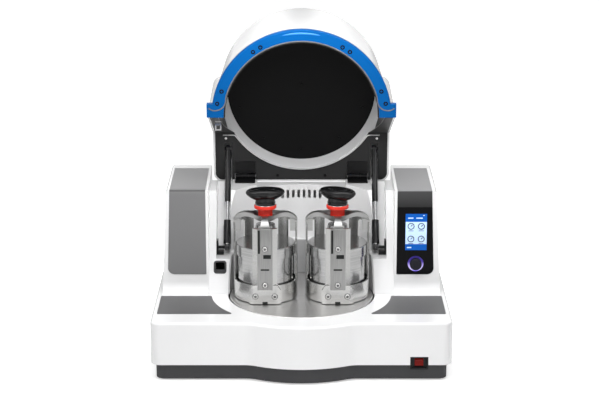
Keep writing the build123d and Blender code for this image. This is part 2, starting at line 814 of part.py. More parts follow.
for name, hand in (("left", -1), ("right", 1)):
    axis_at = (hand * ORBIT_R, SUN_Y)
    track_z = TRACK_Z[name]

    with BuildPart() as planet_drive:
        with BuildSketch(Plane((*axis_at, track_z - 1))):
            Circle(PLANET_SHAFT_R)
        extrude(amount=CAGE_Z - track_z + 1)
        with BuildSketch(Plane((*axis_at, SHELF_Z + 0.4))):
            Circle(40)
        extrude(amount=CAGE_Z - SHELF_Z - 0.4)
        with BuildSketch(Plane((*axis_at, track_z - 1))):
            Circle(PLANET_PULLEY_R + 2.5)
        extrude(amount=TRACK_H + 1)
        with BuildSketch(Plane((*axis_at, track_z))):
            Circle(PLANET_PULLEY_R + 8)
            Circle(PLANET_PULLEY_R, mode=Mode.SUBTRACT)
        extrude(amount=TRACK_H - 1, mode=Mode.SUBTRACT)
    planet_drive.part.label = f"planet_drive_{name}"
    export_step(planet_drive.part, f"parts/planet_drive_{name}.step")

    # The holder is a steel tube on a base disc. Its windows leave a broad front plate, two side
    # posts and two rear posts, and the front pair of windows is open at the top.
    with BuildPart() as jar_holder:
        with BuildSketch(Plane((*axis_at, CAGE_Z))):
            Circle(CAGE_R)
        extrude(amount=CAGE_TOP - CAGE_Z)
        for turn, width, top in HOLDER_WINDOWS:
            outward = (cos(radians(turn)), sin(radians(turn)), 0)
            window = Plane((*axis_at, 0), x_dir=(-outward[1], outward[0], 0), z_dir=outward)
            with BuildSketch(window):
                with Locations((0, (CAGE_SILL_Z + top) / 2)):
                    RectangleRounded(width, top - CAGE_SILL_Z, 6)
            extrude(amount=CAGE_R + 5, mode=Mode.SUBTRACT)
        # Front plate with sloping edges, on its wide bolted foot
        with BuildSketch(Plane((*axis_at, CAGE_Z))):
            Polygon(
                (-FRONT_PLATE_W / 2, -60),
                (-FRONT_PLATE_W / 2, -FRONT_PLATE_R + 7),
                (-FRONT_FACE_W / 2, -FRONT_PLATE_R),
                (FRONT_FACE_W / 2, -FRONT_PLATE_R),
                (FRONT_PLATE_W / 2, -FRONT_PLATE_R + 7),
                (FRONT_PLATE_W / 2, -60),
                align=None,
            )
        extrude(amount=CAGE_TOP - CAGE_Z)
        front = Plane((axis_at[0], SUN_Y - FRONT_PLATE_R, 0), x_dir=(1, 0, 0), z_dir=(0, -1, 0))
        with BuildSketch(front):
            Polygon(
                (-FOOT_W / 2, CAGE_Z),
                (FOOT_W / 2, CAGE_Z),
                (FOOT_W / 2, CAGE_Z + 34),
                (FRONT_PLATE_W / 2, CAGE_Z + 48),
                (-FRONT_PLATE_W / 2, CAGE_Z + 48),
                (-FOOT_W / 2, CAGE_Z + 34),
                align=None,
            )
        extrude(amount=-26)
        with BuildSketch(Plane((*axis_at, CAGE_Z))):
            Circle(CAGE_R + 9)
        extrude(amount=CAGE_TOP - CAGE_Z, mode=Mode.INTERSECT)
        with BuildSketch(Plane((*axis_at, JAR_Z))):
            Circle(CAGE_R - CAGE_T)
        extrude(amount=CAGE_TOP, mode=Mode.SUBTRACT)
    jar_holder.part.label = f"jar_holder_{name}"
    export_step(jar_holder.part, f"parts/jar_holder_{name}.step")

    with BuildPart() as jar:
        with BuildSketch(Plane((*axis_at, JAR_Z))):
            Circle(JAR_R)
        extrude(amount=JAR_RIM_Z - JAR_Z)
        with BuildSketch(Plane((*axis_at, JAR_RIM_Z))):
            Circle(JAR_R + 3)
        extrude(amount=JAR_TOP - JAR_RIM_Z)
        with BuildSketch(Plane((*axis_at, JAR_Z + 14))):
            Circle(JAR_IN_R)
        extrude(amount=JAR_TOP, mode=Mode.SUBTRACT)
        fillet(jar.edges().filter_by(lambda e: e.length > 6 * JAR_R).group_by(Axis.Z)[0], 4)
    jar.part.label = f"jar_{name}"
    export_step(jar.part, f"parts/jar_{name}.step")

    with BuildPart() as jar_lid:
        with BuildSketch(Plane((*axis_at, JAR_TOP - 8))):
            Circle(JAR_IN_R - 0.5)
        extrude(amount=8)
        with BuildSketch(Plane((*axis_at, JAR_TOP))):
            Circle(JAR_R + 3)
        extrude(amount=14)
        fillet(jar_lid.edges().group_by(Axis.Z)[-1], 3)
        with BuildSketch(Plane((*axis_at, JAR_TOP + 14))):
            Circle(30)
        extrude(amount=LID_BOSS_TOP - JAR_TOP - 24, taper=8)
        with BuildSketch(Plane((*axis_at, LID_BOSS_TOP - 20))):
            Circle(9)
        extrude(amount=30, mode=Mode.SUBTRACT)
    jar_lid.part.label = f"jar_lid_{name}"
    export_step(jar_lid.part, f"parts/jar_lid_{name}.step")

    # Four arms rise from a low boss over the jar and come down on the holder's rim. The side
    # arms hook inside the holder, and the rear three share a half ring.
    with BuildPart() as spider:
        with BuildSketch(Plane((axis_at[0], SUN_Y, 0), x_dir=(1, 0, 0), z_dir=(0, -1, 0))):
            with BuildLine():
                Polyline((0, SADDLE_Z - 9), (0, SADDLE_Z), (SADDLE_R, SADDLE_Z))
                ThreePointArc((SADDLE_R, SADDLE_Z), (50, SADDLE_Z + 10.5), (CAGE_R, SPIDER_Z + 6))
                Polyline((CAGE_R, SPIDER_Z + 6), (CAGE_R, SPIDER_Z), (CAGE_R - 6, SPIDER_Z))
                ThreePointArc((CAGE_R - 6, SPIDER_Z), (50, SADDLE_Z), (SADDLE_R, SADDLE_Z - 9))
                Line((SADDLE_R, SADDLE_Z - 9), (0, SADDLE_Z - 9))
            make_face()
        revolve(axis=Axis((*axis_at, 0), (0, 0, 1)))
        with BuildSketch(Plane((*axis_at, SPIDER_Z - 2))):
            with PolarLocations(86, 4, start_angle=45):
                Circle(53)
            Circle(27, mode=Mode.SUBTRACT)
        extrude(amount=40, mode=Mode.SUBTRACT)
        with BuildSketch(Plane((*axis_at, SPIDER_Z))):
            Circle(CAGE_R)
            Circle(CAGE_R - CAGE_T - 2, mode=Mode.SUBTRACT)
            with Locations((0, -CAGE_R - 17)):
                Rectangle(2 * CAGE_R, 2 * CAGE_R, mode=Mode.SUBTRACT)
        extrude(amount=5)
        with BuildSketch(Plane((*axis_at, SPIDER_Z - 24))):
            Rectangle(2 * CAGE_R, 26)
            Rectangle(2 * 62, 26, mode=Mode.SUBTRACT)
            Circle(CAGE_R - CAGE_T - 0.3, mode=Mode.INTERSECT)
        extrude(amount=31)
        with BuildSketch(Plane((*axis_at, SPIDER_Z - 2))):
            Circle(8.2)
        extrude(amount=60, mode=Mode.SUBTRACT)
    spider.part.label = f"clamp_spider_{name}"
    export_step(spider.part, f"parts/clamp_spider_{name}.step")

    with BuildPart() as collar:
        with BuildSketch(Plane((*axis_at, SADDLE_Z + 0.3))):
            Circle(COLLAR_R)
        extrude(amount=FLANGE_Z - SADDLE_Z)
        with BuildSketch(Plane((*axis_at, FLANGE_Z))):
            Circle(FLANGE_R)
        extrude(amount=FLANGE_T)
        fillet(collar.edges().filter_by(lambda e: e.length > 170), 2)
        with BuildSketch(Plane((*axis_at, SPIDER_Z))):
            Circle(8.2)
        extrude(amount=60, mode=Mode.SUBTRACT)
    collar.part.label = f"clamp_collar_{name}"
    export_step(collar.part, f"parts/clamp_collar_{name}.step")

    # The clamping screw turns with the hub and the two-winged knob.
    with BuildPart() as knob:
        with BuildSketch(Plane((*axis_at, LID_BOSS_TOP - 18))):
            Circle(8)
        extrude(amount=HUB_Z - LID_BOSS_TOP + 18)
        with BuildSketch(Plane((*axis_at, HUB_Z))):
            Circle(25.5)
        extrude(amount=KNOB_Z - HUB_Z + 3)
        wing_plane = Plane((*axis_at, KNOB_Z)).rotated((0, 0, KNOB_TURN[name]))
        with BuildSketch(wing_plane):
            Ellipse(40, 24)
        with BuildSketch(wing_plane.offset(KNOB_WIDEST_Z - KNOB_Z)):
            Ellipse(50, 27)
        with BuildSketch(wing_plane.offset(KNOB_TOP - KNOB_Z)):
            Ellipse(36, 18)
        loft()
    knob.part.label = f"clamp_knob_{name}"
    export_step(knob.part, f"parts/clamp_knob_{name}.step")

# ---------------------------------------------------------------- lid

LID_FLOOR = RING_Z + RING_T


def under_lid():
    """Side view of everything below and behind the lid's edge, cut away from its shell."""
    Polygon(
        (-300, RING_Z - 60),
        (-300, LID_FLOOR),
        (slope_y(LID_FLOOR, -LID_GAP), LID_FLOOR),
        (slope_y(SLOPE_Z, -LID_GAP), SLOPE_Z),
        (300, SLOPE_Z),
        (300, RING_Z - 60),
        align=None,
    )


with BuildPart() as lid_shell:
    with BuildSketch(lid_level(LID_LOW_Z)):
        Circle(LID_LOW_R)
    with BuildSketch(lid_level(LID_TOP_Z)):
        Circle(LID_TOP_R)
    loft()
    rims = lid_shell.edges().filter_by(GeomType.CIRCLE)
    fillet(rims.filter_by(lambda rim: abs(rim.radius - LID_TOP_R) < 1), 14)
    with BuildSketch(lid_level(LID_LOW_Z)):
        with Locations((0, (HOOD_FRONT + HOOD_BACK) / 2)):
            RectangleRounded(2 * HOOD_X, HOOD_BACK - HOOD_FRONT, HOOD_CORNER_R)
    extrude(amount=HOOD_TOP - LID_LOW_Z)
    with BuildSketch(lid_level(LID_LOW_Z - 1)):
        Circle(LID_LOW_R - LID_WALL)
    with BuildSketch(lid_level(LID_TOP_Z - LID_WALL)):
        Circle(LID_TOP_R - LID_WALL)
    loft(mode=Mode.SUBTRACT)
    with BuildSketch(lid_level(LID_LOW_Z - 1)):
        with Locations((0, (HOOD_FRONT + HOOD_BACK) / 2)):
            RectangleRounded(
                2 * (HOOD_X - LID_WALL), HOOD_BACK - HOOD_FRONT - 2 * LID_WALL, HOOD_CORNER_R - LID_WALL
            )
    extrude(amount=HOOD_TOP - LID_WALL - LID_LOW_Z + 1, mode=Mode.SUBTRACT)
    with BuildSketch(lid_side(-300)):
        under_lid()
    extrude(amount=600, mode=Mode.SUBTRACT)
lid_shell.part.label = "lid_shell"
export_step(lid_shell.part, "parts/lid_shell.step")

with BuildPart() as lid_liner:
    with BuildSketch(lid_side(0)):
        Polygon(
            (-193, END_Z),
            (-203, SLOPE_Z),
            (-203, RING_Z),
            (-205, RING_Z),
            (-205, SLOPE_Z),
            (-195, END_Z),
            align=None,
        )
    revolve(axis=Axis(lid_level(0).origin, lid_level(0).z_dir))
    with BuildSketch(lid_side(-300)):
        under_lid()
    extrude(amount=600, mode=Mode.SUBTRACT)
lid_liner.part.label = "lid_liner"
export_step(lid_liner.part, "parts/lid_liner.step")

with BuildPart() as lid_end_disc:
    with BuildSketch(lid_level(END_Z)):
        Circle(END_R)
    extrude(amount=END_T)
lid_end_disc.part.label = "lid_end_disc"
export_step(lid_end_disc.part, "parts/lid_end_disc.step")

with BuildPart() as lid_ring:
    with BuildSketch(lid_level(RING_Z)):
        Circle(RING_OUT_R)
        with Locations((0, RING_EAR_Y / 2)):
            Rectangle(2 * RING_EAR_X, -RING_EAR_Y)
        Circle(RING_IN_R, mode=Mode.SUBTRACT)
        with Locations((0, 150)):
            Rectangle(600, 302, mode=Mode.SUBTRACT)
    extrude(amount=RING_T)
    rim_edges = lid_ring.edges().filter_by(
        lambda e: e.geom_type == GeomType.CIRCLE and abs(e.radius - RING_OUT_R) < 0.5
    )
    fillet(rim_edges, 4)
lid_ring.part.label = "lid_ring"
export_step(lid_ring.part, "parts/lid_ring.step")

with BuildPart() as lid_gasket:
    with BuildSketch(lid_level(RING_Z + 1)):
        Circle(RING_IN_R - CLEAR)
        Circle(RING_IN_R - 3.5, mode=Mode.SUBTRACT)
        with Locations((0, 150)):
            Rectangle(600, 302, mode=Mode.SUBTRACT)
    extrude(amount=RING_T - 1)
lid_gasket.part.label = "lid_gasket"
export_step(lid_gasket.part, "parts/lid_gasket.step")

# Dark strips close the gap between the liner and the hood along the sloping edge.
STRIP_T = 3
STRIP_UP = STRIP_T / SLOPE_IN[0]
with BuildPart() as lid_edge_strips:
    for x in (-HOOD_X + LID_WALL, 150):
        with BuildSketch(lid_side(x)):
            Polygon(
                (slope_y(LID_FLOOR, -LID_GAP), LID_FLOOR),
                (slope_y(SLOPE_Z, -LID_GAP), SLOPE_Z),
                (slope_y(SLOPE_Z, -LID_GAP - STRIP_UP), SLOPE_Z),
                (slope_y(LID_FLOOR, -LID_GAP - STRIP_UP), LID_FLOOR),
                align=None,
            )
        extrude(amount=HOOD_X - LID_WALL - 150)
    with BuildSketch(lid_level(RING_Z)):
        Circle(MOUTH_R)
    extrude(amount=HOOD_TOP, mode=Mode.SUBTRACT)
lid_edge_strips.part.label = "lid_edge_strips"
export_step(lid_edge_strips.part, "parts/lid_edge_strips.step")

with BuildPart() as lid_rear_plate:
    with BuildSketch(lid_level(SLOPE_Z)):
        with Locations((0, (SLOPE_Y - LID_GAP + PLATE_BACK) / 2)):
            Rectangle(2 * PLATE_X, PLATE_BACK - SLOPE_Y + LID_GAP)
        with Locations((0, (HOOD_FRONT + HOOD_BACK) / 2)):
            RectangleRounded(
                2 * (HOOD_X - LID_WALL),
                HOOD_BACK - HOOD_FRONT - 2 * LID_WALL,
                HOOD_CORNER_R - LID_WALL,
                mode=Mode.INTERSECT,
            )
        Circle(MOUTH_R, mode=Mode.SUBTRACT)
        with GridLocations(2 * SLOT_X, 1, 2, 1):
            with Locations((0, (SLOT_FRONT + PLATE_BACK) / 2)):
                Rectangle(SLOT_W, PLATE_BACK - SLOT_FRONT + 1, mode=Mode.SUBTRACT)
        with GridLocations(2 * HINGE_X, 1, 2, 1):
            with Locations((0, (LEAF_BACK + 1 + HOOD_BACK) / 2)):
                Rectangle(LEAF_W + 4, HOOD_BACK - LEAF_BACK - 1, mode=Mode.SUBTRACT)
    extrude(amount=PLATE_T)
lid_rear_plate.part.label = "lid_rear_plate"
export_step(lid_rear_plate.part, "parts/lid_rear_plate.step")

# ---------------------------------------------------------------- hinges

KNUCKLES = [(-LEAF_W / 2, -8.8, "lower"), (-8.5, 8.5, "upper"), (8.8, LEAF_W / 2, "lower")]
with BuildPart() as hinge_leaves_lower:
    for centre in (-HINGE_X, HINGE_X):
        with BuildSketch(level(LEDGE_Z)):
            with Locations((centre, (LEAF_FRONT + LEAF_BACK) / 2 - 4)):
                Rectangle(LEAF_W, LEAF_BACK - LEAF_FRONT + 8)
        extrude(amount=LEAF_T)
        for low, high, leaf in KNUCKLES:
            if leaf == "lower":
                with BuildSketch(side(centre + low)):
                    with Locations((HINGE_Y, HINGE_Z)):
                        Circle(KNUCKLE_R)
                    with Locations(((LEAF_BACK + HINGE_Y) / 2 - 1, LEDGE_Z + LEAF_T / 2)):
                        Rectangle(HINGE_Y - LEAF_BACK + 2, LEAF_T)
                    with Locations((HINGE_Y, HINGE_Z)):
                        Circle(PIN_R + PIN_PLAY, mode=Mode.SUBTRACT)
                extrude(amount=high - low)
hinge_leaves_lower.part.label = "hinge_leaves_lower"
export_step(hinge_leaves_lower.part, "parts/hinge_leaves_lower.step")

with BuildPart() as hinge_leaves_upper:
    for centre in (-HINGE_X, HINGE_X):
        with BuildSketch(lid_level(SLOPE_Z - LEAF_T)):
            with Locations((centre, (LEAF_FRONT + LEAF_BACK) / 2)):
                Rectangle(LEAF_W, LEAF_BACK - LEAF_FRONT)
            Circle(MOUTH_R, mode=Mode.SUBTRACT)
        extrude(amount=LEAF_T)
        for low, high, leaf in KNUCKLES:
            if leaf == "upper":
                with BuildSketch(lid_side(centre + low)):
                    with Locations((HINGE_Y, HINGE_Z)):
                        Circle(KNUCKLE_R)
                    with Locations(((LEAF_BACK + HINGE_Y) / 2 - 1, SLOPE_Z - LEAF_T / 2)):
                        Rectangle(HINGE_Y - LEAF_BACK + 2, LEAF_T)
                    with Locations((HINGE_Y, HINGE_Z)):
                        Circle(PIN_R + PIN_PLAY, mode=Mode.SUBTRACT)
                extrude(amount=high - low)
hinge_leaves_upper.part.label = "hinge_leaves_upper"
export_step(hinge_leaves_upper.part, "parts/hinge_leaves_upper.step")

with BuildPart() as hinge_pins:
    for centre in (-HINGE_X, HINGE_X):
        with BuildSketch(side(centre - LEAF_W / 2 - 1)):
            with Locations((HINGE_Y, HINGE_Z)):
                Circle(PIN_R)
        extrude(amount=LEAF_W + 2)
hinge_pins.part.label = "hinge_pins"
export_step(hinge_pins.part, "parts/hinge_pins.step")

# ---------------------------------------------------------------- gas springs

SPRING_HEAD = opened(SPRING_HEAD_SHUT)
SPRING_LEN = hypot(SPRING_HEAD[0] - SPRING_FOOT[0], SPRING_HEAD[1] - SPRING_FOOT[1])
SPRING_LEAN = atan2(SPRING_HEAD[1] - SPRING_FOOT[1], SPRING_HEAD[0] - SPRING_FOOT[0])
SHUT_LEN = hypot(SPRING_HEAD_SHUT[0] - SPRING_FOOT[0], SPRING_HEAD_SHUT[1] - SPRING_FOOT[1])
SHUT_LEAN = atan2(SPRING_HEAD_SHUT[1] - SPRING_FOOT[1], SPRING_HEAD_SHUT[0] - SPRING_FOOT[0])
for name, hand in (("left", -1), ("right", 1)):
    along = (0, cos(SPRING_LEAN), sin(SPRING_LEAN))
    foot = Plane(
        (hand * SPRING_X, SUN_Y + SPRING_FOOT[0], SPRING_FOOT[1]), x_dir=(1, 0, 0), z_dir=along
    )

    with BuildPart() as gas_rod:
        with BuildSketch(side(hand * SPRING_X - EYE_HALF)):
            with Locations(SPRING_FOOT):
                Circle(EYE_R)
        extrude(amount=2 * EYE_HALF)
        with BuildSketch(foot):
            Circle(6)
        extrude(amount=24)
        with BuildSketch(foot):
            Circle(ROD_R)
        extrude(amount=ROD_LEN)
    gas_rod.part.label = f"gas_rod_{name}"
    export_step(gas_rod.part, f"parts/gas_rod_{name}.step")

    with BuildPart() as gas_tube:
        with BuildSketch(foot.offset(SPRING_LEN - TUBE_LEN)):
            Circle(TUBE_R)
        extrude(amount=TUBE_LEN - 5)
        with BuildSketch(side(hand * SPRING_X - EYE_HALF)):
            with Locations(SPRING_HEAD):
                Circle(EYE_R)
        extrude(amount=2 * EYE_HALF)
        with BuildSketch(foot.offset(SPRING_LEN - TUBE_LEN - 1)):
            Circle(ROD_R + PIN_PLAY)
        extrude(amount=TUBE_LEN - 10, mode=Mode.SUBTRACT)
    gas_tube.part.label = f"gas_tube_{name}"
    export_step(gas_tube.part, f"parts/gas_tube_{name}.step")

# Each stud's face stands a hair off the spring's end eye, beside it.
STUD_OFF = EYE_HALF + CLEAR
with BuildPart() as spring_studs_lower:
    for start, way in ((SPRING_X + STUD_OFF, 1), (-SPRING_X - STUD_OFF, -1)):
        with BuildSketch(side(start)):
            with Locations(SPRING_FOOT):
                Circle(STUD_R)
        extrude(amount=way * (POCKET_OUT - SPRING_X - STUD_OFF))
spring_studs_lower.part.label = "spring_studs_lower"
export_step(spring_studs_lower.part, "parts/spring_studs_lower.step")

BRACKET_X = 202
with BuildPart() as spring_brackets_upper:
    for way in (1, -1):
        with BuildSketch(lid_side(way * (SPRING_X + STUD_OFF))):
            with Locations(SPRING_HEAD_SHUT):
                Circle(STUD_R)
        extrude(amount=way * (BRACKET_X - SPRING_X - STUD_OFF))
        with BuildSketch(lid_side(way * BRACKET_X)):
            with Locations((SPRING_HEAD_SHUT[0], SLOPE_Z + PLATE_T + 9)):
                Rectangle(28, 18)
        extrude(amount=way * 4)
        with BuildSketch(lid_level(SLOPE_Z + PLATE_T)):
            with Locations((way * (BRACKET_X + 8), SPRING_HEAD_SHUT[0])):
                Rectangle(16, 28)
        extrude(amount=3)
spring_brackets_upper.part.label = "spring_brackets_upper"
export_step(spring_brackets_upper.part, "parts/spring_brackets_upper.step")

# ---------------------------------------------------------------- lid lock


def lock_side(x, lift=Location((0, SUN_Y, 0))):
    """Side plane at the striker's root: local x runs into the lock, local y up the slope."""
    return Plane(
        lift
        * Plane(
            (x, LOCK_ROOT[0], LOCK_ROOT[1]), x_dir=(0, SLOPE_IN[0], SLOPE_IN[1]), z_dir=(1, 0, 0)
        ).location
    )


with BuildPart() as lid_striker:
    with BuildSketch(lock_side(LOCK_X - STRIKER_W / 2, OPEN)):
        with Locations((STRIKER_LEN / 2 + CLEAR, 0)):
            Rectangle(STRIKER_LEN - 2 * CLEAR, STRIKER_T)
    extrude(amount=STRIKER_W)
    with BuildSketch(lock_side(LOCK_X - 4.5, OPEN)):
        with Locations((BOLT_AT, 0)):
            Rectangle(9, STRIKER_T + 2)
    extrude(amount=9, mode=Mode.SUBTRACT)
    with BuildSketch(lock_side(LOCK_X - STRIKER_W / 2, OPEN)):
        with Locations((1, 0)):
            Rectangle(2, 16)
    extrude(amount=STRIKER_W)
lid_striker.part.label = "lid_striker"
export_step(lid_striker.part, "parts/lid_striker.step")

LOCK_SKIN = LID_GAP * SLOPE_IN[0]
with BuildPart() as lock_bezel:
    with BuildSketch(LOCK_PLANE.offset(-LOCK_SKIN)):
        with Locations((LOCK_X, 0)):
            RectangleRounded(32, 33, 7)
    extrude(amount=1.2)
    with BuildSketch(LOCK_PLANE.offset(-LOCK_SKIN)):
        with Locations((LOCK_X, 0)):
            RectangleRounded(28 - 2 * CLEAR, 29 - 2 * CLEAR, 5)
    extrude(amount=-WALL)
    with BuildSketch(LOCK_PLANE.offset(-LOCK_SKIN + 2)):
        with Locations((LOCK_X, 0)):
            RectangleRounded(23, 25, 4)
    extrude(amount=-WALL - 4, mode=Mode.SUBTRACT)
lock_bezel.part.label = "lock_bezel"
export_step(lock_bezel.part, "parts/lock_bezel.step")

LOCK_START = LOCK_SKIN + WALL + PIN_PLAY
with BuildPart() as lock_unit:
    with BuildSketch(lock_side(LOCK_X - 15)):
        with Locations((LOCK_START + 14, -17)):
            Rectangle(28, 24)
    extrude(amount=30)
    with BuildSketch(lock_side(LOCK_X - BOLT_R - PIN_PLAY)):
        with Locations((BOLT_AT, -17)):
            Rectangle(2 * (BOLT_R + PIN_PLAY), 40)
    extrude(amount=2 * (BOLT_R + PIN_PLAY), mode=Mode.SUBTRACT)
lock_unit.part.label = "lock_unit"
export_step(lock_unit.part, "parts/lock_unit.step")

with BuildPart() as lock_bolt:
    with BuildSketch(lock_side(LOCK_X - BOLT_R)):
        with Locations((BOLT_AT, -17)):
            Rectangle(2 * BOLT_R, 23)
    extrude(amount=2 * BOLT_R)
lock_bolt.part.label = "lock_bolt"
export_step(lock_bolt.part, "parts/lock_bolt.step")

spring_ratio = (SHUT_LEN - SPRING_LEN) / 1000 / radians(LID_OPEN_DEG)
lean_ratio = degrees(SHUT_LEAN - SPRING_LEAN) / LID_OPEN_DEG
print("gas spring open", round(SPRING_LEN, 2), "shut", round(SHUT_LEN, 2), "head", SPRING_HEAD)
print("slide per radian", round(spring_ratio, 6), "lean per degree", round(lean_ratio, 6))
print("slide direction", (0, cos(SPRING_LEAN), sin(SPRING_LEAN)))
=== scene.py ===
import json
from math import cos, radians, sin

import bpy
from mathutils import Matrix, Vector


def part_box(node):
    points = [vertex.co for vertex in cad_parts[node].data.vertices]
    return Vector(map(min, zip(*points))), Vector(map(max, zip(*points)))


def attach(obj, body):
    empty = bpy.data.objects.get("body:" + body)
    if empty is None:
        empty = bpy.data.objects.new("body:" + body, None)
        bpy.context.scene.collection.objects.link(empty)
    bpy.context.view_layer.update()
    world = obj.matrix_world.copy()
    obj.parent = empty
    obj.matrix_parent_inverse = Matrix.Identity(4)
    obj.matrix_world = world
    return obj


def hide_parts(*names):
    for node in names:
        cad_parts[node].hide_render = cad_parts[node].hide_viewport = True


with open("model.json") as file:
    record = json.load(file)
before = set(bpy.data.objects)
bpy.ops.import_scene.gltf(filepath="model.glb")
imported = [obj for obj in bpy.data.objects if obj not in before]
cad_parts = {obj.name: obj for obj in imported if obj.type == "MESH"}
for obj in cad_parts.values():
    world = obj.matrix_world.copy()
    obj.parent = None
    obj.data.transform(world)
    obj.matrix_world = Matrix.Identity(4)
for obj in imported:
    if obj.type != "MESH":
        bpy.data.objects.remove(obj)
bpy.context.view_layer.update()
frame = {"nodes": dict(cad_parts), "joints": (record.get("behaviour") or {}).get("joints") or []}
bpy.ops.object.select_all(action="DESELECT")

# ---------------------------------------------------------------- camera, light and floor
# A plain pale studio: a white floor and surround, large soft lamps at both sides and above, and
# a small one that lights the milling chamber under the lid. The camera stands level with the
# operator's eyes and looks down at the open mill.
wheel_low, wheel_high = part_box("sun_wheel")
SUN_Y = (wheel_low.y + wheel_high.y) / 2
CAMERA_SIDE = -0.0035
CAMERA_BACK = 4.0825
CAMERA_UP = 1.5136
CAMERA_TILT = 15.3
LENS_MM = 102

eye = bpy.data.cameras.new("eye")
eye.lens = LENS_MM
eye.sensor_width = 36
eye.clip_end = 60
camera = bpy.data.objects.new("camera", eye)
camera.location = (CAMERA_SIDE, SUN_Y - CAMERA_BACK, CAMERA_UP)
camera.rotation_euler = (radians(90 - CAMERA_TILT), 0, 0)
bpy.context.collection.objects.link(camera)
bpy.context.scene.camera = camera
bpy.context.scene.view_settings.view_transform = "Standard"


def soft_lamp(name, place, aim, wide, high, power):
    """A rectangular soft box at place, turned towards aim."""
    light = bpy.data.lights.new(name, "AREA")
    light.shape = "RECTANGLE"
    light.size = wide
    light.size_y = high
    light.energy = power
    lamp = bpy.data.objects.new(name, light)
    lamp.location = place
    lamp.rotation_euler = (Vector(aim) - Vector(place)).to_track_quat("-Z", "Y").to_euler()
    lamp.visible_camera = False
    bpy.context.collection.objects.link(lamp)
    return lamp


MILL_MIDDLE = (0, 0, 0.3)
soft_lamp("key_lamp", (-1.5, -1.7, 2.3), MILL_MIDDLE, wide=1.3, high=1.2, power=14)
soft_lamp("fill_lamp", (1.5, -1.7, 2.3), MILL_MIDDLE, wide=1.3, high=1.2, power=11.5)
soft_lamp("top_lamp", (0, -0.7, 3.0), (0, 0.05, 0.2), wide=1.8, high=1.4, power=23)
chamber_lamp = soft_lamp("chamber_lamp", (0, -0.42, 1.0), (0, 0.12, 0.38), wide=0.5, high=0.25, power=4.4)
chamber_lamp.visible_glossy = False

surround = bpy.data.worlds.new("surround")
bpy.context.scene.world = surround
surround.use_nodes = True
sky = surround.node_tree.nodes
sky_links = surround.node_tree.links
seen = sky.new("ShaderNodeLightPath")
seen_plainly = sky.new("ShaderNodeMath")
seen_plainly.operation = "MAXIMUM"
ROOM_LIGHT = 0.50
strength = sky.new("ShaderNodeMapRange")
strength.inputs["To Min"].default_value = ROOM_LIGHT
strength.inputs["To Max"].default_value = 1.0
sky_links.new(seen.outputs["Is Camera Ray"], seen_plainly.inputs[0])
sky_links.new(seen.outputs["Is Transmission Ray"], seen_plainly.inputs[1])
sky_links.new(seen_plainly.outputs[0], strength.inputs["Value"])

# Polished metal sees soft light and dark bands round the room, as it does between studio flags.
BAND_DARK = 0.42
BAND_LIGHT = 1.15
room = sky.new("ShaderNodeTexCoord")
bands = sky.new("ShaderNodeTexWave")
bands.bands_direction = "X"
bands.inputs["Scale"].default_value = 1.1
bands.inputs["Distortion"].default_value = 1.2
bands.inputs["Detail"].default_value = 1.0
band_level = sky.new("ShaderNodeMapRange")
band_level.inputs["To Min"].default_value = BAND_DARK
band_level.inputs["To Max"].default_value = BAND_LIGHT
room_seen = sky.new("ShaderNodeMix")
sky_links.new(room.outputs["Generated"], bands.inputs["Vector"])
sky_links.new(bands.outputs["Fac"], band_level.inputs["Value"])
sky_links.new(seen.outputs["Is Glossy Ray"], room_seen.inputs["Factor"])
sky_links.new(strength.outputs["Result"], room_seen.inputs["A"])
sky_links.new(band_level.outputs["Result"], room_seen.inputs["B"])
sky_links.new(room_seen.outputs["Result"], sky["Background"].inputs["Strength"])
sky["Background"].inputs["Color"].default_value = (1, 1, 1, 1)

FLOOR_SIZE = 14
FLOOR_LIFT = 0.50
bpy.ops.mesh.primitive_plane_add(size=FLOOR_SIZE, location=(0, 0, 0))
floor = bpy.context.object
floor.name = "floor"
floor_finish = bpy.data.materials.new("floor_white")
floor_finish.use_nodes = True
floor_tree = floor_finish.node_tree
floor_shader = floor_tree.nodes["Principled BSDF"]
floor_shader.inputs["Base Color"].default_value = (0.90, 0.90, 0.90, 1)
floor_shader.inputs["Roughness"].default_value = 0.45
floor_shader.inputs["Emission Color"].default_value = (1, 1, 1, 1)
floor_seen = floor_tree.nodes.new("ShaderNodeLightPath")
floor_lift = floor_tree.nodes.new("ShaderNodeMapRange")
floor_lift.inputs["To Min"].default_value = 0.0
floor_lift.inputs["To Max"].default_value = FLOOR_LIFT
floor_tree.links.new(floor_seen.outputs["Is Camera Ray"], floor_lift.inputs["Value"])
floor_tree.links.new(floor_lift.outputs["Result"], floor_shader.inputs["Emission Strength"])
floor.data.materials.append(floor_finish)

# ---------------------------------------------------------------- housing shell
# The cabinet is one glossy white foam moulding, screwed to the base frame from below. The
# lid's hood is moulded and painted the same way. Paint leaves a faint waviness and fine grain.


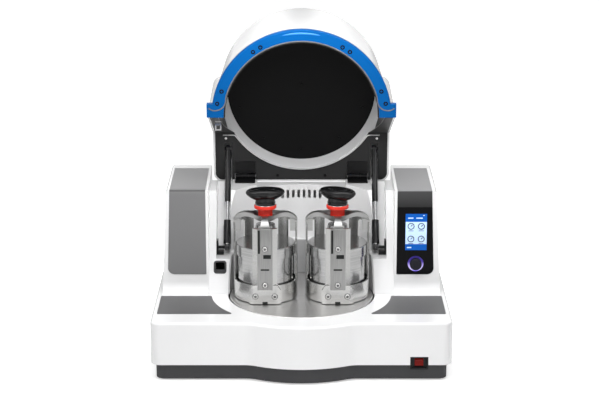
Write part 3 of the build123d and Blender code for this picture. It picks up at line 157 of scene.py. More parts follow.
def finish(
    name, colour, rough, metallic=0.0, coat=0.0, mottle=0.03, wave=0.05, speck=900.0, bump=0.02, shine=0.5
):
    """A material whose colour and roughness drift a little and whose surface is finely grained."""
    made = bpy.data.materials.new(name)
    made.use_nodes = True
    nodes = made.node_tree.nodes
    links = made.node_tree.links
    shader = nodes["Principled BSDF"]
    shader.inputs["Metallic"].default_value = metallic
    shader.inputs["Specular IOR Level"].default_value = shine
    shader.inputs["Coat Weight"].default_value = coat
    shader.inputs["Coat Roughness"].default_value = 0.08
    where = nodes.new("ShaderNodeTexCoord")
    drift = nodes.new("ShaderNodeTexNoise")
    drift.inputs["Scale"].default_value = 7.0
    drift.inputs["Detail"].default_value = 3.0
    tint = nodes.new("ShaderNodeMix")
    tint.data_type = "RGBA"
    dark = [c * (1 - mottle) for c in colour]
    light = [min(1.0, c * (1 + mottle)) for c in colour]
    tint.inputs["A"].default_value = (*dark, 1)
    tint.inputs["B"].default_value = (*light, 1)
    sheen = nodes.new("ShaderNodeMapRange")
    sheen.inputs["To Min"].default_value = max(0.02, rough - wave)
    sheen.inputs["To Max"].default_value = rough + wave
    grain = nodes.new("ShaderNodeTexNoise")
    grain.inputs["Scale"].default_value = speck
    grain.inputs["Detail"].default_value = 2.0
    relief = nodes.new("ShaderNodeBump")
    relief.inputs["Strength"].default_value = bump
    relief.inputs["Distance"].default_value = 0.0004
    links.new(where.outputs["Object"], drift.inputs["Vector"])
    links.new(where.outputs["Object"], grain.inputs["Vector"])
    links.new(drift.outputs["Fac"], tint.inputs["Factor"])
    links.new(tint.outputs["Result"], shader.inputs["Base Color"])
    links.new(drift.outputs["Fac"], sheen.inputs["Value"])
    links.new(sheen.outputs["Result"], shader.inputs["Roughness"])
    links.new(grain.outputs["Fac"], relief.inputs["Height"])
    links.new(relief.outputs["Normal"], shader.inputs["Normal"])
    return made


def dress(material, *names):
    """Gives CAD nodes their finish."""
    for name in names:
        node = frame["nodes"][name]
        node.data.materials.clear()
        node.data.materials.append(material)


casing_white = finish("casing_white", (0.85, 0.85, 0.855), 0.22, coat=0.5, mottle=0.012, bump=0.01)
dress(casing_white, "housing_shell", "lid_shell")

# ---------------------------------------------------------------- plinth and feet
# The plinth is a folded steel tray, powder-coated dark grey with a fine grain. It stands on
# four rubber feet, screwed on from below.
plinth_grey = finish(
    "plinth_grey", (0.055, 0.055, 0.058), 0.55, mottle=0.08, speck=1400, bump=0.12, shine=0.3
)
foot_rubber = finish("foot_rubber", (0.02, 0.02, 0.02), 0.75, mottle=0.2, speck=700, bump=0.2)
dress(plinth_grey, "plinth")
dress(foot_rubber, "feet")

# ---------------------------------------------------------------- grey inlay sheets
# Satin grey sheets are bonded into the left tower, over its top edge, and into both shelves.
# A dark pinched line runs along the bend at the top of the tower. The shelf pads are darker.


def colours_by_height(material, low_z, high_z, stops, socket="Base Color"):
    """Colours a finish through (share of the way up, red, green, blue) stops.

    Returns the nodes that give the height and the colour.
    """
    tree = material.node_tree
    place = tree.nodes.new("ShaderNodeTexCoord")
    height = tree.nodes.new("ShaderNodeSeparateXYZ")
    share = tree.nodes.new("ShaderNodeMapRange")
    share.inputs["From Min"].default_value = low_z
    share.inputs["From Max"].default_value = high_z
    ramp = tree.nodes.new("ShaderNodeValToRGB")
    steps = ramp.color_ramp.elements
    steps[0].color = (*stops[0][1:], 1)
    steps[1].color = (*stops[-1][1:], 1)
    for at, *colour in stops[1:-1]:
        step = steps.new(at)
        step.color = (*colour, 1)
    tree.links.new(place.outputs["Object"], height.inputs["Vector"])
    tree.links.new(height.outputs["Z"], share.inputs["Value"])
    tree.links.new(share.outputs["Result"], ramp.inputs["Fac"])
    tree.links.new(ramp.outputs["Color"], tree.nodes["Principled BSDF"].inputs[socket])
    return height, ramp


BEND_LINE_Z = 0.417
BEND_LINE_REACH = 0.010
BEND_STOPS = (
    (0.00, 0.19, 0.19, 0.193),
    (0.42, 0.21, 0.21, 0.2121),
    (0.46, 0.07, 0.07, 0.0707),
    (0.54, 0.07, 0.07, 0.0707),
    (0.58, 0.25, 0.25, 0.2525),
    (1.00, 0.25, 0.25, 0.253),
)
PADS_BELOW_Z = 0.2
PAD_GREY = (0.10, 0.10, 0.102, 1)
inlay_grey = finish("inlay_grey", (0.15, 0.15, 0.153), 0.42, mottle=0.03, speck=1600, bump=0.08, shine=0.3)
inlay_height, tower_colour = colours_by_height(
    inlay_grey, BEND_LINE_Z - BEND_LINE_REACH, BEND_LINE_Z + BEND_LINE_REACH, BEND_STOPS
)
inlay_tree = inlay_grey.node_tree
on_tower = inlay_tree.nodes.new("ShaderNodeMath")
on_tower.operation = "GREATER_THAN"
on_tower.inputs[1].default_value = PADS_BELOW_Z
pad_or_tower = inlay_tree.nodes.new("ShaderNodeMix")
pad_or_tower.data_type = "RGBA"
pad_or_tower.inputs["A"].default_value = PAD_GREY
inlay_tree.links.new(inlay_height.outputs["Z"], on_tower.inputs[0])
inlay_tree.links.new(on_tower.outputs[0], pad_or_tower.inputs["Factor"])
inlay_tree.links.new(tower_colour.outputs["Color"], pad_or_tower.inputs["B"])
inlay_tree.links.new(pad_or_tower.outputs["Result"], inlay_tree.nodes["Principled BSDF"].inputs["Base Color"])
dress(inlay_grey, "inlay_sheets")

# ---------------------------------------------------------------- control panel
# One sheet wraps over the right tower and is bonded into it: grey on top, fading through charcoal
# down the front to black glass round the display. A lighter band along the bend, brighter than
# the grey top, is a painted highlight.
PANEL_FADE_LOW_Z = 0.366
PANEL_FADE_TOP_Z = 0.4185
PANEL_STOPS = (
    (0.000, 0.002, 0.002, 0.003),
    (0.150, 0.003, 0.003, 0.00306),
    (0.190, 0.030, 0.030, 0.0306),
    (0.940, 0.068, 0.068, 0.06936),
    # the next stop is the painted highlight along the bend
    (0.960, 0.300, 0.300, 0.306),
    (0.985, 0.250, 0.250, 0.255),
    (1.000, 0.250, 0.250, 0.255),
)
panel_glass = finish("panel_glass", (0.012, 0.012, 0.014), 0.15, mottle=0.05, bump=0.0, shine=0.12)
colours_by_height(panel_glass, PANEL_FADE_LOW_Z, PANEL_FADE_TOP_Z, PANEL_STOPS)
dress(panel_glass, "control_panel")

# ---------------------------------------------------------------- display
# A lit colour display sits behind the panel's glass. It shows a pale page of four round
# gauges between two blue bars, each layer a thin film on the screen.


def lit(name, colour, strength, rough=0.25):
    """A back-lit surface under a thin gloss."""
    made = finish(name, colour, rough, mottle=0.04, bump=0.0, shine=0.15)
    shader = made.node_tree.nodes["Principled BSDF"]
    shader.inputs["Emission Color"].default_value = (*colour, 1)
    shader.inputs["Emission Strength"].default_value = strength
    return made


def put(piece, name, material, body):
    """Names a finished piece, gives it its finish and hands it to the body that carries it."""
    piece.name = name
    piece.data.name = name
    piece.data.materials.clear()
    piece.data.materials.append(material)
    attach(piece, body)
    return piece


def settle(piece):
    """Writes the object's place into its mesh, and smooths its gentle edges."""
    bpy.ops.object.select_all(action="DESELECT")
    piece.select_set(True)
    bpy.context.view_layer.objects.active = piece
    bpy.ops.object.transform_apply(location=True, rotation=True, scale=True)
    bpy.ops.object.shade_smooth_by_angle(angle=radians(35))
    piece.select_set(False)
    return piece


def slab(centre, size, edge, turn=(0, 0, 0)):
    """A block with softly bevelled edges."""
    bpy.ops.mesh.primitive_cube_add(size=1, location=centre, rotation=turn)
    piece = bpy.context.object
    piece.scale = size
    bpy.ops.object.transform_apply(location=False, rotation=False, scale=True)
    rounding = piece.modifiers.new("rounding", "BEVEL")
    rounding.width = edge
    rounding.segments = 3
    bpy.ops.object.modifier_apply(modifier=rounding.name)
    return settle(piece)


def joined(pieces):
    """Several pieces made one mesh."""
    bpy.ops.object.select_all(action="DESELECT")
    for piece in pieces:
        piece.select_set(True)
    bpy.context.view_layer.objects.active = pieces[0]
    bpy.ops.object.join()
    whole = bpy.context.object
    whole.select_set(False)
    return whole


screen_low, screen_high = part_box("screen")
screen_face = screen_low.y
screen_x = (screen_low.x + screen_high.x) / 2
screen_wide = screen_high.x - screen_low.x
screen_tall = screen_high.z - screen_low.z
display_white = lit("display_white", (0.50, 0.66, 0.88), 0.34)
display_blue = lit("display_blue", (0.002, 0.075, 0.36), 0.5)
display_ink = lit("display_ink", (0.008, 0.016, 0.05), 0.0)
dress(display_blue, "screen")
LAYER = 0.0004
INK = 0.0005
FILM_EDGE = 0.0001
PAGE_WIDE = 0.985 * screen_wide
PAGE_TALL = 0.61 * screen_tall
PAGE_MIDDLE_Z = screen_low.z + 0.475 * screen_tall
page = slab((screen_x, screen_face - LAYER / 2, PAGE_MIDDLE_Z), (PAGE_WIDE, LAYER, PAGE_TALL), FILM_EDGE)
put(page, "display_page", display_white, "root")
GAUGE_R = 0.0076
GAUGE_LINE = 0.0010
GAUGE_COLUMN = 0.24 * screen_wide
GAUGE_ROWS = (0.66 * screen_tall, 0.31 * screen_tall)
POINTER_SHIFT = 0.0015
POINTER_SIZE = (0.0018, INK, 0.006)
CAPTION_SIZE = (0.013, INK, 0.0012)
CAPTION_DROP = 0.125 * screen_tall
gauges = []
for column in (-1, 1):
    for row in GAUGE_ROWS:
        gauge_x = screen_x + column * GAUGE_COLUMN
        gauge_z = screen_low.z + row
        bpy.ops.mesh.primitive_torus_add(
            major_radius=GAUGE_R,
            minor_radius=GAUGE_LINE,
            major_segments=36,
            minor_segments=8,
            location=(gauge_x, screen_face - LAYER, gauge_z),
            rotation=(radians(90), 0, 0),
        )
        gauges.append(settle(bpy.context.object))
        pointer_at = (gauge_x + POINTER_SHIFT, screen_face - LAYER, gauge_z + POINTER_SHIFT)
        gauges.append(slab(pointer_at, POINTER_SIZE, FILM_EDGE, (0, radians(45), 0)))
        caption_at = (gauge_x, screen_face - LAYER, gauge_z - CAPTION_DROP)
        gauges.append(slab(caption_at, CAPTION_SIZE, FILM_EDGE))
put(joined(gauges), "display_gauges", display_ink, "root")
# (across from the middle, height, how wide, how tall) of the pale bars on the blue
BARS = (
    (-0.014, screen_high.z - 0.011, 0.013, 0.003),
    (0.008, screen_high.z - 0.011, 0.016, 0.003),
    (0.019, screen_high.z - 0.004, 0.004, 0.002),
    (-0.017, screen_low.z + 0.007, 0.011, 0.003),
)
bars = []
for across, height, wide, tall in BARS:
    bars.append(slab((screen_x + across, screen_face - LAYER / 2, height), (wide, LAYER, tall), FILM_EDGE))
put(joined(bars), "display_bars", display_white, "root")

# ---------------------------------------------------------------- control dial
# A black moulded push dial stands in the panel, on the shaft of a rotary switch. The clear
# ring round it is lit violet from behind and glows strongest near the bottom.
dial_black = finish("dial_black", (0.012, 0.012, 0.018), 0.4, mottle=0.1, speck=1200, bump=0.1, shine=0.25)
dress(dial_black, "control_dial")
GLOW_STRENGTH = 0.9
GLOW_STOPS = (
    (0.00, 0.16, 0.07, 1.0),
    (0.12, 0.72, 0.66, 1.0),
    (0.35, 0.60, 0.50, 1.0),
    (0.62, 0.06, 0.035, 0.28),
    (1.00, 0.006, 0.004, 0.05),
)
ring_low, ring_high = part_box("dial_ring")
ring_glow = lit("ring_glow", (0.03, 0.02, 0.14), GLOW_STRENGTH)
colours_by_height(ring_glow, ring_low.z, ring_high.z, GLOW_STOPS, "Emission Color")
dress(ring_glow, "dial_ring")

# ---------------------------------------------------------------- mains switch
# A red lit rocker sits deep in a black moulded frame, snapped into the foot of the front wall.
# The lid lock's opening in the left tower has a dark grey bezel of the same kind.
frame_black = finish(
    "frame_black", (0.012, 0.012, 0.013), 0.5, mottle=0.1, speck=1500, bump=0.15, shine=0.25
)
rocker_red = lit("rocker_red", (0.16, 0.008, 0.006), 0.25)
throat_grey = finish("throat_grey", (0.055, 0.055, 0.057), 0.6, mottle=0.25, speck=500, bump=0.2, shine=0.2)
dress(frame_black, "switch_frame", "power_inlet")
dress(throat_grey, "lock_bezel", "lock_unit")
dress(rocker_red, "rocker")

# ---------------------------------------------------------------- chamber liner and sun wheel
# A grey wear band lines the chamber wall. The sun wheel under the jars is turned steel,
# brushed round its axis.
liner_grey = finish("liner_grey", (0.50, 0.50, 0.505), 0.38, mottle=0.03, speck=900, bump=0.05)
dress(liner_grey, "chamber_liner")


def brushed(name, colour, rough, stretch, dark=0.55, bump=0.06):
    """Steel with fine scratches drawn out along the axis where stretch is small."""
    made = finish(name, colour, rough, metallic=1.0, mottle=0.05, bump=0.0)
    tree = made.node_tree
    place = tree.nodes.new("ShaderNodeTexCoord")
    pull = tree.nodes.new("ShaderNodeMapping")
    pull.inputs["Scale"].default_value = stretch
    scratch = tree.nodes.new("ShaderNodeTexNoise")
    scratch.inputs["Scale"].default_value = 1.0
    scratch.inputs["Detail"].default_value = 4.0
    band = tree.nodes.new("ShaderNodeMapRange")
    band.inputs["From Min"].default_value = 0.3
    band.inputs["From Max"].default_value = 0.7
    shade = tree.nodes.new("ShaderNodeMix")
    shade.data_type = "RGBA"
    shade.inputs["A"].default_value = (*[c * dark for c in colour], 1)
    shade.inputs["B"].default_value = (*colour, 1)
    relief = tree.nodes.new("ShaderNodeBump")
    relief.inputs["Strength"].default_value = bump
    relief.inputs["Distance"].default_value = 0.0003
    shader = tree.nodes["Principled BSDF"]
    tree.links.new(place.outputs["Object"], pull.inputs["Vector"])
    tree.links.new(pull.outputs["Vector"], scratch.inputs["Vector"])
    tree.links.new(scratch.outputs["Fac"], band.inputs["Value"])
    tree.links.new(band.outputs["Result"], shade.inputs["Factor"])
    tree.links.new(shade.outputs["Result"], shader.inputs["Base Color"])
    tree.links.new(scratch.outputs["Fac"], relief.inputs["Height"])
    tree.links.new(relief.outputs["Normal"], shader.inputs["Normal"])
    return made


wheel_steel = brushed("wheel_steel", (0.93, 0.92, 0.91), 0.38, (4, 900, 4), dark=0.88)
dress(wheel_steel, "sun_wheel")

# ---------------------------------------------------------------- lid lining, end disc and plate
# Inside the lid are a light vacuum-formed lining, a black sound-damping disc at the end,
# and a black steel plate across the back that carries the hinges and gas springs.
lining_grey = finish("lining_grey", (0.70, 0.70, 0.705), 0.3, mottle=0.03, speck=700, bump=0.04)
damping_black = finish(
    "damping_black", (0.005, 0.005, 0.0052), 0.5, mottle=0.25, wave=0.12, speck=260, bump=0.25, shine=0.12
)
plate_black = finish(
    "plate_black", (0.026, 0.026, 0.0265), 0.42, mottle=0.08, speck=1300, bump=0.1, shine=0.2
)
hinge_black = finish(
    "hinge_black", (0.004, 0.004, 0.0045), 0.35, mottle=0.08, speck=1300, bump=0.06, shine=0.3
)
strip_grey = finish("strip_grey", (0.05, 0.05, 0.05), 0.45, mottle=0.06, speck=1200, bump=0.08, shine=0.3)
dress(lining_grey, "lid_liner")
dress(damping_black, "lid_end_disc")
dress(plate_black, "lid_rear_plate")
dress(hinge_black, "hinge_leaves_upper", "hinge_leaves_lower", "spring_brackets_upper", "spring_studs_lower")
dress(strip_grey, "lid_edge_strips")

# The lining's outer side, which faces away from the lid's axis, is coloured dark as painted
# shade: it is seen through the gap between the ring's ear and the rear plate, where it lies in shadow.
JOINTS = {joint["name"]: joint for joint in frame["joints"]}
LID_HINGE = Vector(JOINTS["lid_hinge"]["pos_m"])
LID_SWING = radians(JOINTS["lid_hinge"]["range_deg"][1])
TURNED_OPEN = Matrix.Rotation(-LID_SWING, 4, "X")
LID_OPEN = Matrix.Translation(LID_HINGE) @ TURNED_OPEN @ Matrix.Translation(-LID_HINGE)
LID_MID_Z = 0.3
LINING_INSIDE = (0.70, 0.70, 0.705, 1)
LINING_OUTSIDE_SHADE = (0.030, 0.030, 0.031, 1)
FACING_OUT_OVER = 0.05


def on_shut_lid(across, depth, height):
    """A place on the lid, given as it lies when shut, moved to where it stands open."""
    return LID_OPEN @ Matrix.Translation((across, SUN_Y + depth, height))


lining_tree = lining_grey.node_tree
lining_place = lining_tree.nodes.new("ShaderNodeTexCoord")
from_axis = lining_tree.nodes.new("ShaderNodeVectorMath")
from_axis.operation = "SUBTRACT"
from_axis.inputs[1].default_value = on_shut_lid(0, 0, LID_MID_Z).translation
facing_out = lining_tree.nodes.new("ShaderNodeVectorMath")
facing_out.operation = "DOT_PRODUCT"
lining_shade_split = lining_tree.nodes.new("ShaderNodeValToRGB")
lining_shade_split.color_ramp.interpolation = "CONSTANT"
lining_shade_split.color_ramp.elements[0].color = LINING_INSIDE
lining_shade_split.color_ramp.elements[1].position = FACING_OUT_OVER
lining_shade_split.color_ramp.elements[1].color = LINING_OUTSIDE_SHADE
lining_tree.links.new(lining_place.outputs["Object"], from_axis.inputs[0])
lining_tree.links.new(from_axis.outputs["Vector"], facing_out.inputs[0])
lining_tree.links.new(lining_place.outputs["Normal"], facing_out.inputs[1])
lining_tree.links.new(facing_out.outputs["Value"], lining_shade_split.inputs["Fac"])
lining_tree.links.new(lining_shade_split.outputs["Color"], lining_tree.nodes["Principled BSDF"].inputs["Base Color"])

# ---------------------------------------------------------------- lid cheeks
# A dark sheet on each side fills the corner between the ring's ear, the lining's sloping edge and
# the rear plate. It is painted shade for that shadowed corner, in the grey of the hood's dark edge strip.
CHEEK_IN_X = 0.188
CHEEK_ARC_R = 0.2026
CHEEK_LOW_Z = 0.170
CHEEK_TOP_Z = 0.328
CHEEK_STEPS = 14
CHEEK_BACK_OFF = 0.0058
CHEEK_THICK = 0.0016
CHEEK_RIM = 0.0004
SLOPE_RUN = 0.112 / 0.250
SLOPE_FOOT_Z = 0.150


def cheek_depth(height):
    """How far back the cheek lies on the lid's sloping edge, at a height on the shut lid."""
    return (height - SLOPE_FOOT_Z) * SLOPE_RUN - CHEEK_BACK_OFF


cheeks = []
for way in (-1, 1):
    corners = []
    faces = []
    for number in range(CHEEK_STEPS + 1):
        height = CHEEK_LOW_Z + (CHEEK_TOP_Z - CHEEK_LOW_Z) * number / CHEEK_STEPS
        depth = cheek_depth(height)
        outer = (CHEEK_ARC_R**2 - depth**2) ** 0.5
        for across in (CHEEK_IN_X, outer):
            corners.append(on_shut_lid(way * across, depth, height).translation)
        if number:
            faces.append((2 * number - 2, 2 * number - 1, 2 * number + 1, 2 * number))
    sheet = bpy.data.meshes.new("cheek")
    sheet.from_pydata(corners, [], faces)
    cheek = bpy.data.objects.new("cheek", sheet)
    bpy.context.collection.objects.link(cheek)
    bpy.context.view_layer.objects.active = cheek
    thick = cheek.modifiers.new("thick", "SOLIDIFY")
    thick.thickness = CHEEK_THICK
    thick.offset = 0
    bpy.ops.object.modifier_apply(modifier=thick.name)
    soft = cheek.modifiers.new("soft", "BEVEL")
    soft.width = CHEEK_RIM
    soft.segments = 2
    bpy.ops.object.modifier_apply(modifier=soft.name)
    cheeks.append(settle(cheek))
# The cheeks are painted shade, not a part of the lid.
put(joined(cheeks), "lid_shade_cheeks", strip_grey, "lid")

# ---------------------------------------------------------------- blue lid ring and gasket
# The glossy blue ring stiffens the lid's mouth and doubles as its handle. It is moulded, and
# eight black socket screws hold it, in pairs beside the grip and above each ear. A soft black
# gasket lies inside it.
ring_blue = finish("ring_blue", (0.0008, 0.075, 0.26), 0.3, mottle=0.03, bump=0.01, shine=0.08)
seal_black = finish("seal_black", (0.015, 0.015, 0.015), 0.6, mottle=0.1, speck=900, bump=0.15, shine=0.25)
dress(ring_blue, "lid_ring")
dress(seal_black, "lid_gasket")

FACE_DOWN = Matrix.Rotation(radians(180), 4, "X")
RING_FACE_Z = 0.1525


def socket_screw(radius, height):
    """A cap screw standing on the origin, with a rounded rim and a sunk socket."""
    bpy.ops.mesh.primitive_cylinder_add(vertices=24, radius=radius, depth=height, location=(0, 0, height / 2))
    screw = bpy.context.object
    bpy.ops.object.mode_set(mode="EDIT")
    bpy.ops.mesh.select_mode(type="FACE")
    bpy.ops.mesh.select_all(action="DESELECT")
    bpy.ops.object.mode_set(mode="OBJECT")
    for face in screw.data.polygons:
        face.select = face.normal.z > 0.9
    bpy.ops.object.mode_set(mode="EDIT")
    bpy.ops.mesh.inset(thickness=radius * 0.14, depth=radius * 0.12)
    bpy.ops.mesh.inset(thickness=radius * 0.36)
    bpy.ops.mesh.inset(thickness=radius * 0.02, depth=-height * 0.6)
    bpy.ops.object.mode_set(mode="OBJECT")
    bpy.ops.object.shade_smooth_by_angle(angle=radians(35))
    return screw


def placed_copies(master, places):
    """Copies of a piece at each place, joined as one mesh. The master goes."""
    made = []
    for place in places:
        twin = master.copy()
        twin.data = master.data.copy()
        bpy.context.collection.objects.link(twin)
        twin.matrix_world = place
        made.append(twin)
    bpy.data.objects.remove(master)
    return settle(joined(made))


# (bearing in degrees down from the side, reach from the lid's axis)
RING_SCREWS = ((60.7, 0.202), (54.7, 0.202), (19, 0.205), (10, 0.208))
RING_SCREW_SUNK = 0.0008
RING_SCREW_R = 0.0054
RING_SCREW_HIGH = 0.0022
places = []
for bearing, reach in RING_SCREWS:
    for way in (-1, 1):
        across = way * reach * cos(radians(bearing))
        depth = -reach * sin(radians(bearing))
        places.append(on_shut_lid(across, depth, RING_FACE_Z + RING_SCREW_SUNK) @ FACE_DOWN)
screw_black = finish("screw_black", (0.004, 0.004, 0.0045), 0.4, mottle=0.1, bump=0.02, shine=0.1)
put(placed_copies(socket_screw(RING_SCREW_R, RING_SCREW_HIGH), places), "ring_screws", screw_black, "lid")

# ---------------------------------------------------------------- grip on the ring
# A low bowed ridge is moulded into the top of the ring for the fingers. It is glossier and a
# lighter blue than the ring: the lighter blue is a painted highlight, the bright sliver where the grip
# catches the light.
GRIP_R = 0.2105
GRIP_HALF_DEG = 15
GRIP_STEPS = 24
GRIP_SUNK = 0.0022
GRIP_THICK_R = 0.0032
grip_points = []
for number in range(GRIP_STEPS + 1):
    bearing = radians(90 - GRIP_HALF_DEG + 2 * GRIP_HALF_DEG * number / GRIP_STEPS)
    share = 1 - abs(2 * number / GRIP_STEPS - 1) ** 2.2
    place = on_shut_lid(GRIP_R * cos(bearing), -GRIP_R * sin(bearing), RING_FACE_Z + GRIP_SUNK)
    grip_points.append((place.translation, 0.55 + 0.45 * share))


def tube_along(points, radius, closed=False):
    """A round tube through (place, thickness) points, as a mesh."""
    path = bpy.data.curves.new("path", "CURVE")
    path.dimensions = "3D"
    path.bevel_depth = radius
    path.bevel_resolution = 3
    path.use_fill_caps = True
    run = path.splines.new("NURBS")
    run.points.add(len(points) - 1)
    for point, (place, thickness) in zip(run.points, points):
        point.co = (*place, 1)
        point.radius = thickness
    run.order_u = 4
    run.use_endpoint_u = True
    run.use_cyclic_u = closed
    drawn = bpy.data.objects.new("path", path)
    bpy.context.collection.objects.link(drawn)
    bpy.ops.object.select_all(action="DESELECT")
    drawn.select_set(True)
    bpy.context.view_layer.objects.active = drawn
    bpy.ops.object.convert(target="MESH")
    return settle(bpy.context.object)


grip_highlight_blue = finish("grip_highlight_blue", (0.03, 0.22, 0.62), 0.22, mottle=0.05, bump=0.0, shine=0.5)
put(tube_along(grip_points, GRIP_THICK_R), "ring_grip_highlight", grip_highlight_blue, "lid")

# ---------------------------------------------------------------- lid seal line
# A soft grey rubber lip runs round the inside of the ring and turns out over each ear. It is
# pressed into a groove in the ring's face.
LIP_R = 0.1912
LIP_Z = 0.1527
LIP_THICK_R = 0.0016
# (across, depth) from the lip's ends at the chamber out over an ear
LIP_EAR = ((0.1835, -0.040), (0.1900, -0.026), (0.2020, -0.0185), (0.2180, -0.0175), (0.2262, -0.0245))
half = [(LIP_R * sin(radians(turn)), -LIP_R * cos(radians(turn))) for turn in range(0, 76, 5)]
half += LIP_EAR
line = [(-across, depth) for across, depth in reversed(half[1:])] + half
lip_points = [(on_shut_lid(across, depth, LIP_Z).translation, 1.0) for across, depth in line]
lip_grey = finish("lip_grey", (0.12, 0.12, 0.125), 0.5, mottle=0.12, speck=700, bump=0.15, shine=0.3)
put(tube_along(lip_points, LIP_THICK_R), "lid_seal_lip", lip_grey, "lid")

# ---------------------------------------------------------------- lid plate trim and screws
# A pale rubber bead covers the edge where the lining comes through the rear plate. Small
# screws hold the plate at its corners and edge, and the damping disc round its rim.
PLATE_FACE_Z = 0.400
MOUTH_R = 0.2068
MOUTH_FRONT = 0.1145
MOUTH_TURN = 56
CORNER_X = 0.2035
LEDGE = 0.012
EASE = 0.003
BEAD_Z = PLATE_FACE_Z - 0.0006
BEAD_THICK_R = 0.0014
edge_x = (MOUTH_R**2 - MOUTH_FRONT**2) ** 0.5
bead = [(-CORNER_X, MOUTH_FRONT), (-CORNER_X + LEDGE, MOUTH_FRONT), (-edge_x - EASE, MOUTH_FRONT)]
for turn in range(-MOUTH_TURN, MOUTH_TURN + 1, 4):
    bead.append((MOUTH_R * sin(radians(turn)), MOUTH_R * cos(radians(turn))))
bead += [(edge_x + EASE, MOUTH_FRONT), (CORNER_X - LEDGE, MOUTH_FRONT), (CORNER_X, MOUTH_FRONT)]
bead_points = [(on_shut_lid(across, depth, BEAD_Z).translation, 1.0) for across, depth in bead]
bead_pale = finish("bead_pale", (0.62, 0.62, 0.62), 0.4, mottle=0.04, speck=900, bump=0.05)
put(tube_along(bead_points, BEAD_THICK_R), "plate_mouth_bead", bead_pale, "lid")

# (across, depth) of the plate's screws, and (radius, height) of each kind of screw on the lid
CORNER_SCREWS = ((-0.196, 0.1235), (0.196, 0.1235))
EDGE_SCREWS = ((-0.128, 0.219), (0.128, 0.219), (-0.062, 0.224), (0.062, 0.224))
CORNER_SCREW = (0.0034, 0.002)
EDGE_SCREW = (0.0036, 0.002)
DISC_SCREW = (0.0045, 0.0022)
screw_bright = finish("screw_bright", (0.62, 0.62, 0.61), 0.25, metallic=1.0, mottle=0.06, bump=0.01)
places = [on_shut_lid(across, depth, PLATE_FACE_Z) @ FACE_DOWN for across, depth in CORNER_SCREWS]
put(placed_copies(socket_screw(*CORNER_SCREW), places), "plate_corner_screws", screw_bright, "lid")
places = [on_shut_lid(across, depth, PLATE_FACE_Z) @ FACE_DOWN for across, depth in EDGE_SCREWS]
put(placed_copies(socket_screw(*EDGE_SCREW), places), "plate_edge_screws", screw_black, "lid")

DISC_FACE_Z = 0.446
DISC_SCREW_R = 0.168
DISC_SCREWS = 10
DISC_MIDDLE_SCREW = -0.010
places = [on_shut_lid(0, DISC_MIDDLE_SCREW, DISC_FACE_Z) @ FACE_DOWN]
for number in range(DISC_SCREWS):
    bearing = radians(90 + 360 * number / DISC_SCREWS)
    across = DISC_SCREW_R * cos(bearing)
    depth = DISC_SCREW_R * sin(bearing)
    places.append(on_shut_lid(across, depth, DISC_FACE_Z) @ FACE_DOWN)
put(placed_copies(socket_screw(*DISC_SCREW), places), "disc_screws", screw_black, "lid")

# ---------------------------------------------------------------- gas springs, hinges and lock metal
# Two gas springs hold the lid up, black tubes on bright rods. A black guard sleeve stands
# round the foot of each rod, wide enough for the tube to slide into it as the lid comes down,
# and a cap closes round the rod's eye. Hinge pins, striker and bolt are bright too.
rod_chrome = finish("rod_chrome", (0.62, 0.62, 0.63), 0.14, metallic=1.0, mottle=0.03, bump=0.0)
tube_black = finish("tube_black", (0.010, 0.010, 0.011), 0.25, mottle=0.06, bump=0.02, shine=0.5)
dress(rod_chrome, "gas_rod_left", "gas_rod_right", "hinge_pins", "lid_striker", "lock_bolt")
dress(tube_black, "gas_tube_left", "gas_tube_right")
GUARD_R = 0.0094
GUARD_BORE_R = 0.0081
GUARD_FROM = 0.010
GUARD_LEN = 0.062
EYE_R = 0.0062
EYE_CAP_R = 0.0086
EYE_CAP_LEN = 0.0122
GUARD_RIM = 0.0004


def sleeve(radius, bore, length, rim=0.0):
    """A short open tube standing round the origin, with softened rims where rim is given."""
    bpy.ops.mesh.primitive_cylinder_add(
        vertices=40, radius=radius, depth=length, location=(0, 0, 0), end_fill_type="NOTHING"
    )
    tube = bpy.context.object
    wall = tube.modifiers.new("wall", "SOLIDIFY")
    wall.thickness = radius - bore
    wall.offset = -1
    bpy.ops.object.modifier_apply(modifier=wall.name)
    if rim:
        soft = tube.modifiers.new("soft", "BEVEL")
        soft.width = rim
        soft.segments = 2
        bpy.ops.object.modifier_apply(modifier=soft.name)
    return tube


for hand in ("left", "right"):
    foot = Vector(JOINTS[f"gas_spring_lean_{hand}"]["pos_m"])
    along = Vector(JOINTS[f"gas_spring_stroke_{hand}"]["axis"]).normalized()
    if along.z < 0:
        along = -along
    guard = sleeve(GUARD_R, GUARD_BORE_R, GUARD_LEN, GUARD_RIM)
    lean = along.to_track_quat("Z", "Y").to_matrix().to_4x4()
    guard.matrix_world = Matrix.Translation(foot + along * (GUARD_FROM + GUARD_LEN / 2)) @ lean
    cap = sleeve(EYE_CAP_R, EYE_R, EYE_CAP_LEN)
    cap.matrix_world = Matrix.Translation(foot) @ Matrix.Rotation(radians(90), 4, "Y")
    put(joined([settle(guard), settle(cap)]), f"spring_guard_{hand}", tube_black, f"gas_rod_{hand}")

# A black bracket on the tower's pocket wall carries each lower stud, with a foot below it.
stud_low, stud_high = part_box("spring_studs_lower")
stud_y = (stud_low.y + stud_high.y) / 2
stud_z = (stud_low.z + stud_high.z) / 2
BRACKET_IN_X = 0.1980
BRACKET_DEEP = 0.024
BRACKET_EDGE = 0.0012
FOOT_THICK = 0.008
BACK_THICK = 0.004
BACK_TALL = 0.036
FOOT_DROP = 0.0125
BACK_RISE = 0.002
BACK_IN = 0.0022
bracket_wide = stud_high.x - BRACKET_IN_X
brackets = []
for way in (-1, 1):
    foot_at = (way * (BRACKET_IN_X + bracket_wide / 2), stud_y, stud_z - FOOT_DROP)
    brackets.append(slab(foot_at, (bracket_wide, BRACKET_DEEP, FOOT_THICK), BRACKET_EDGE))
    back_at = (way * (stud_high.x - BACK_IN), stud_y, stud_z + BACK_RISE)
    brackets.append(slab(back_at, (BACK_THICK, BRACKET_DEEP, BACK_TALL), BRACKET_EDGE))
put(joined(brackets), "spring_foot_brackets", hinge_black, "root")

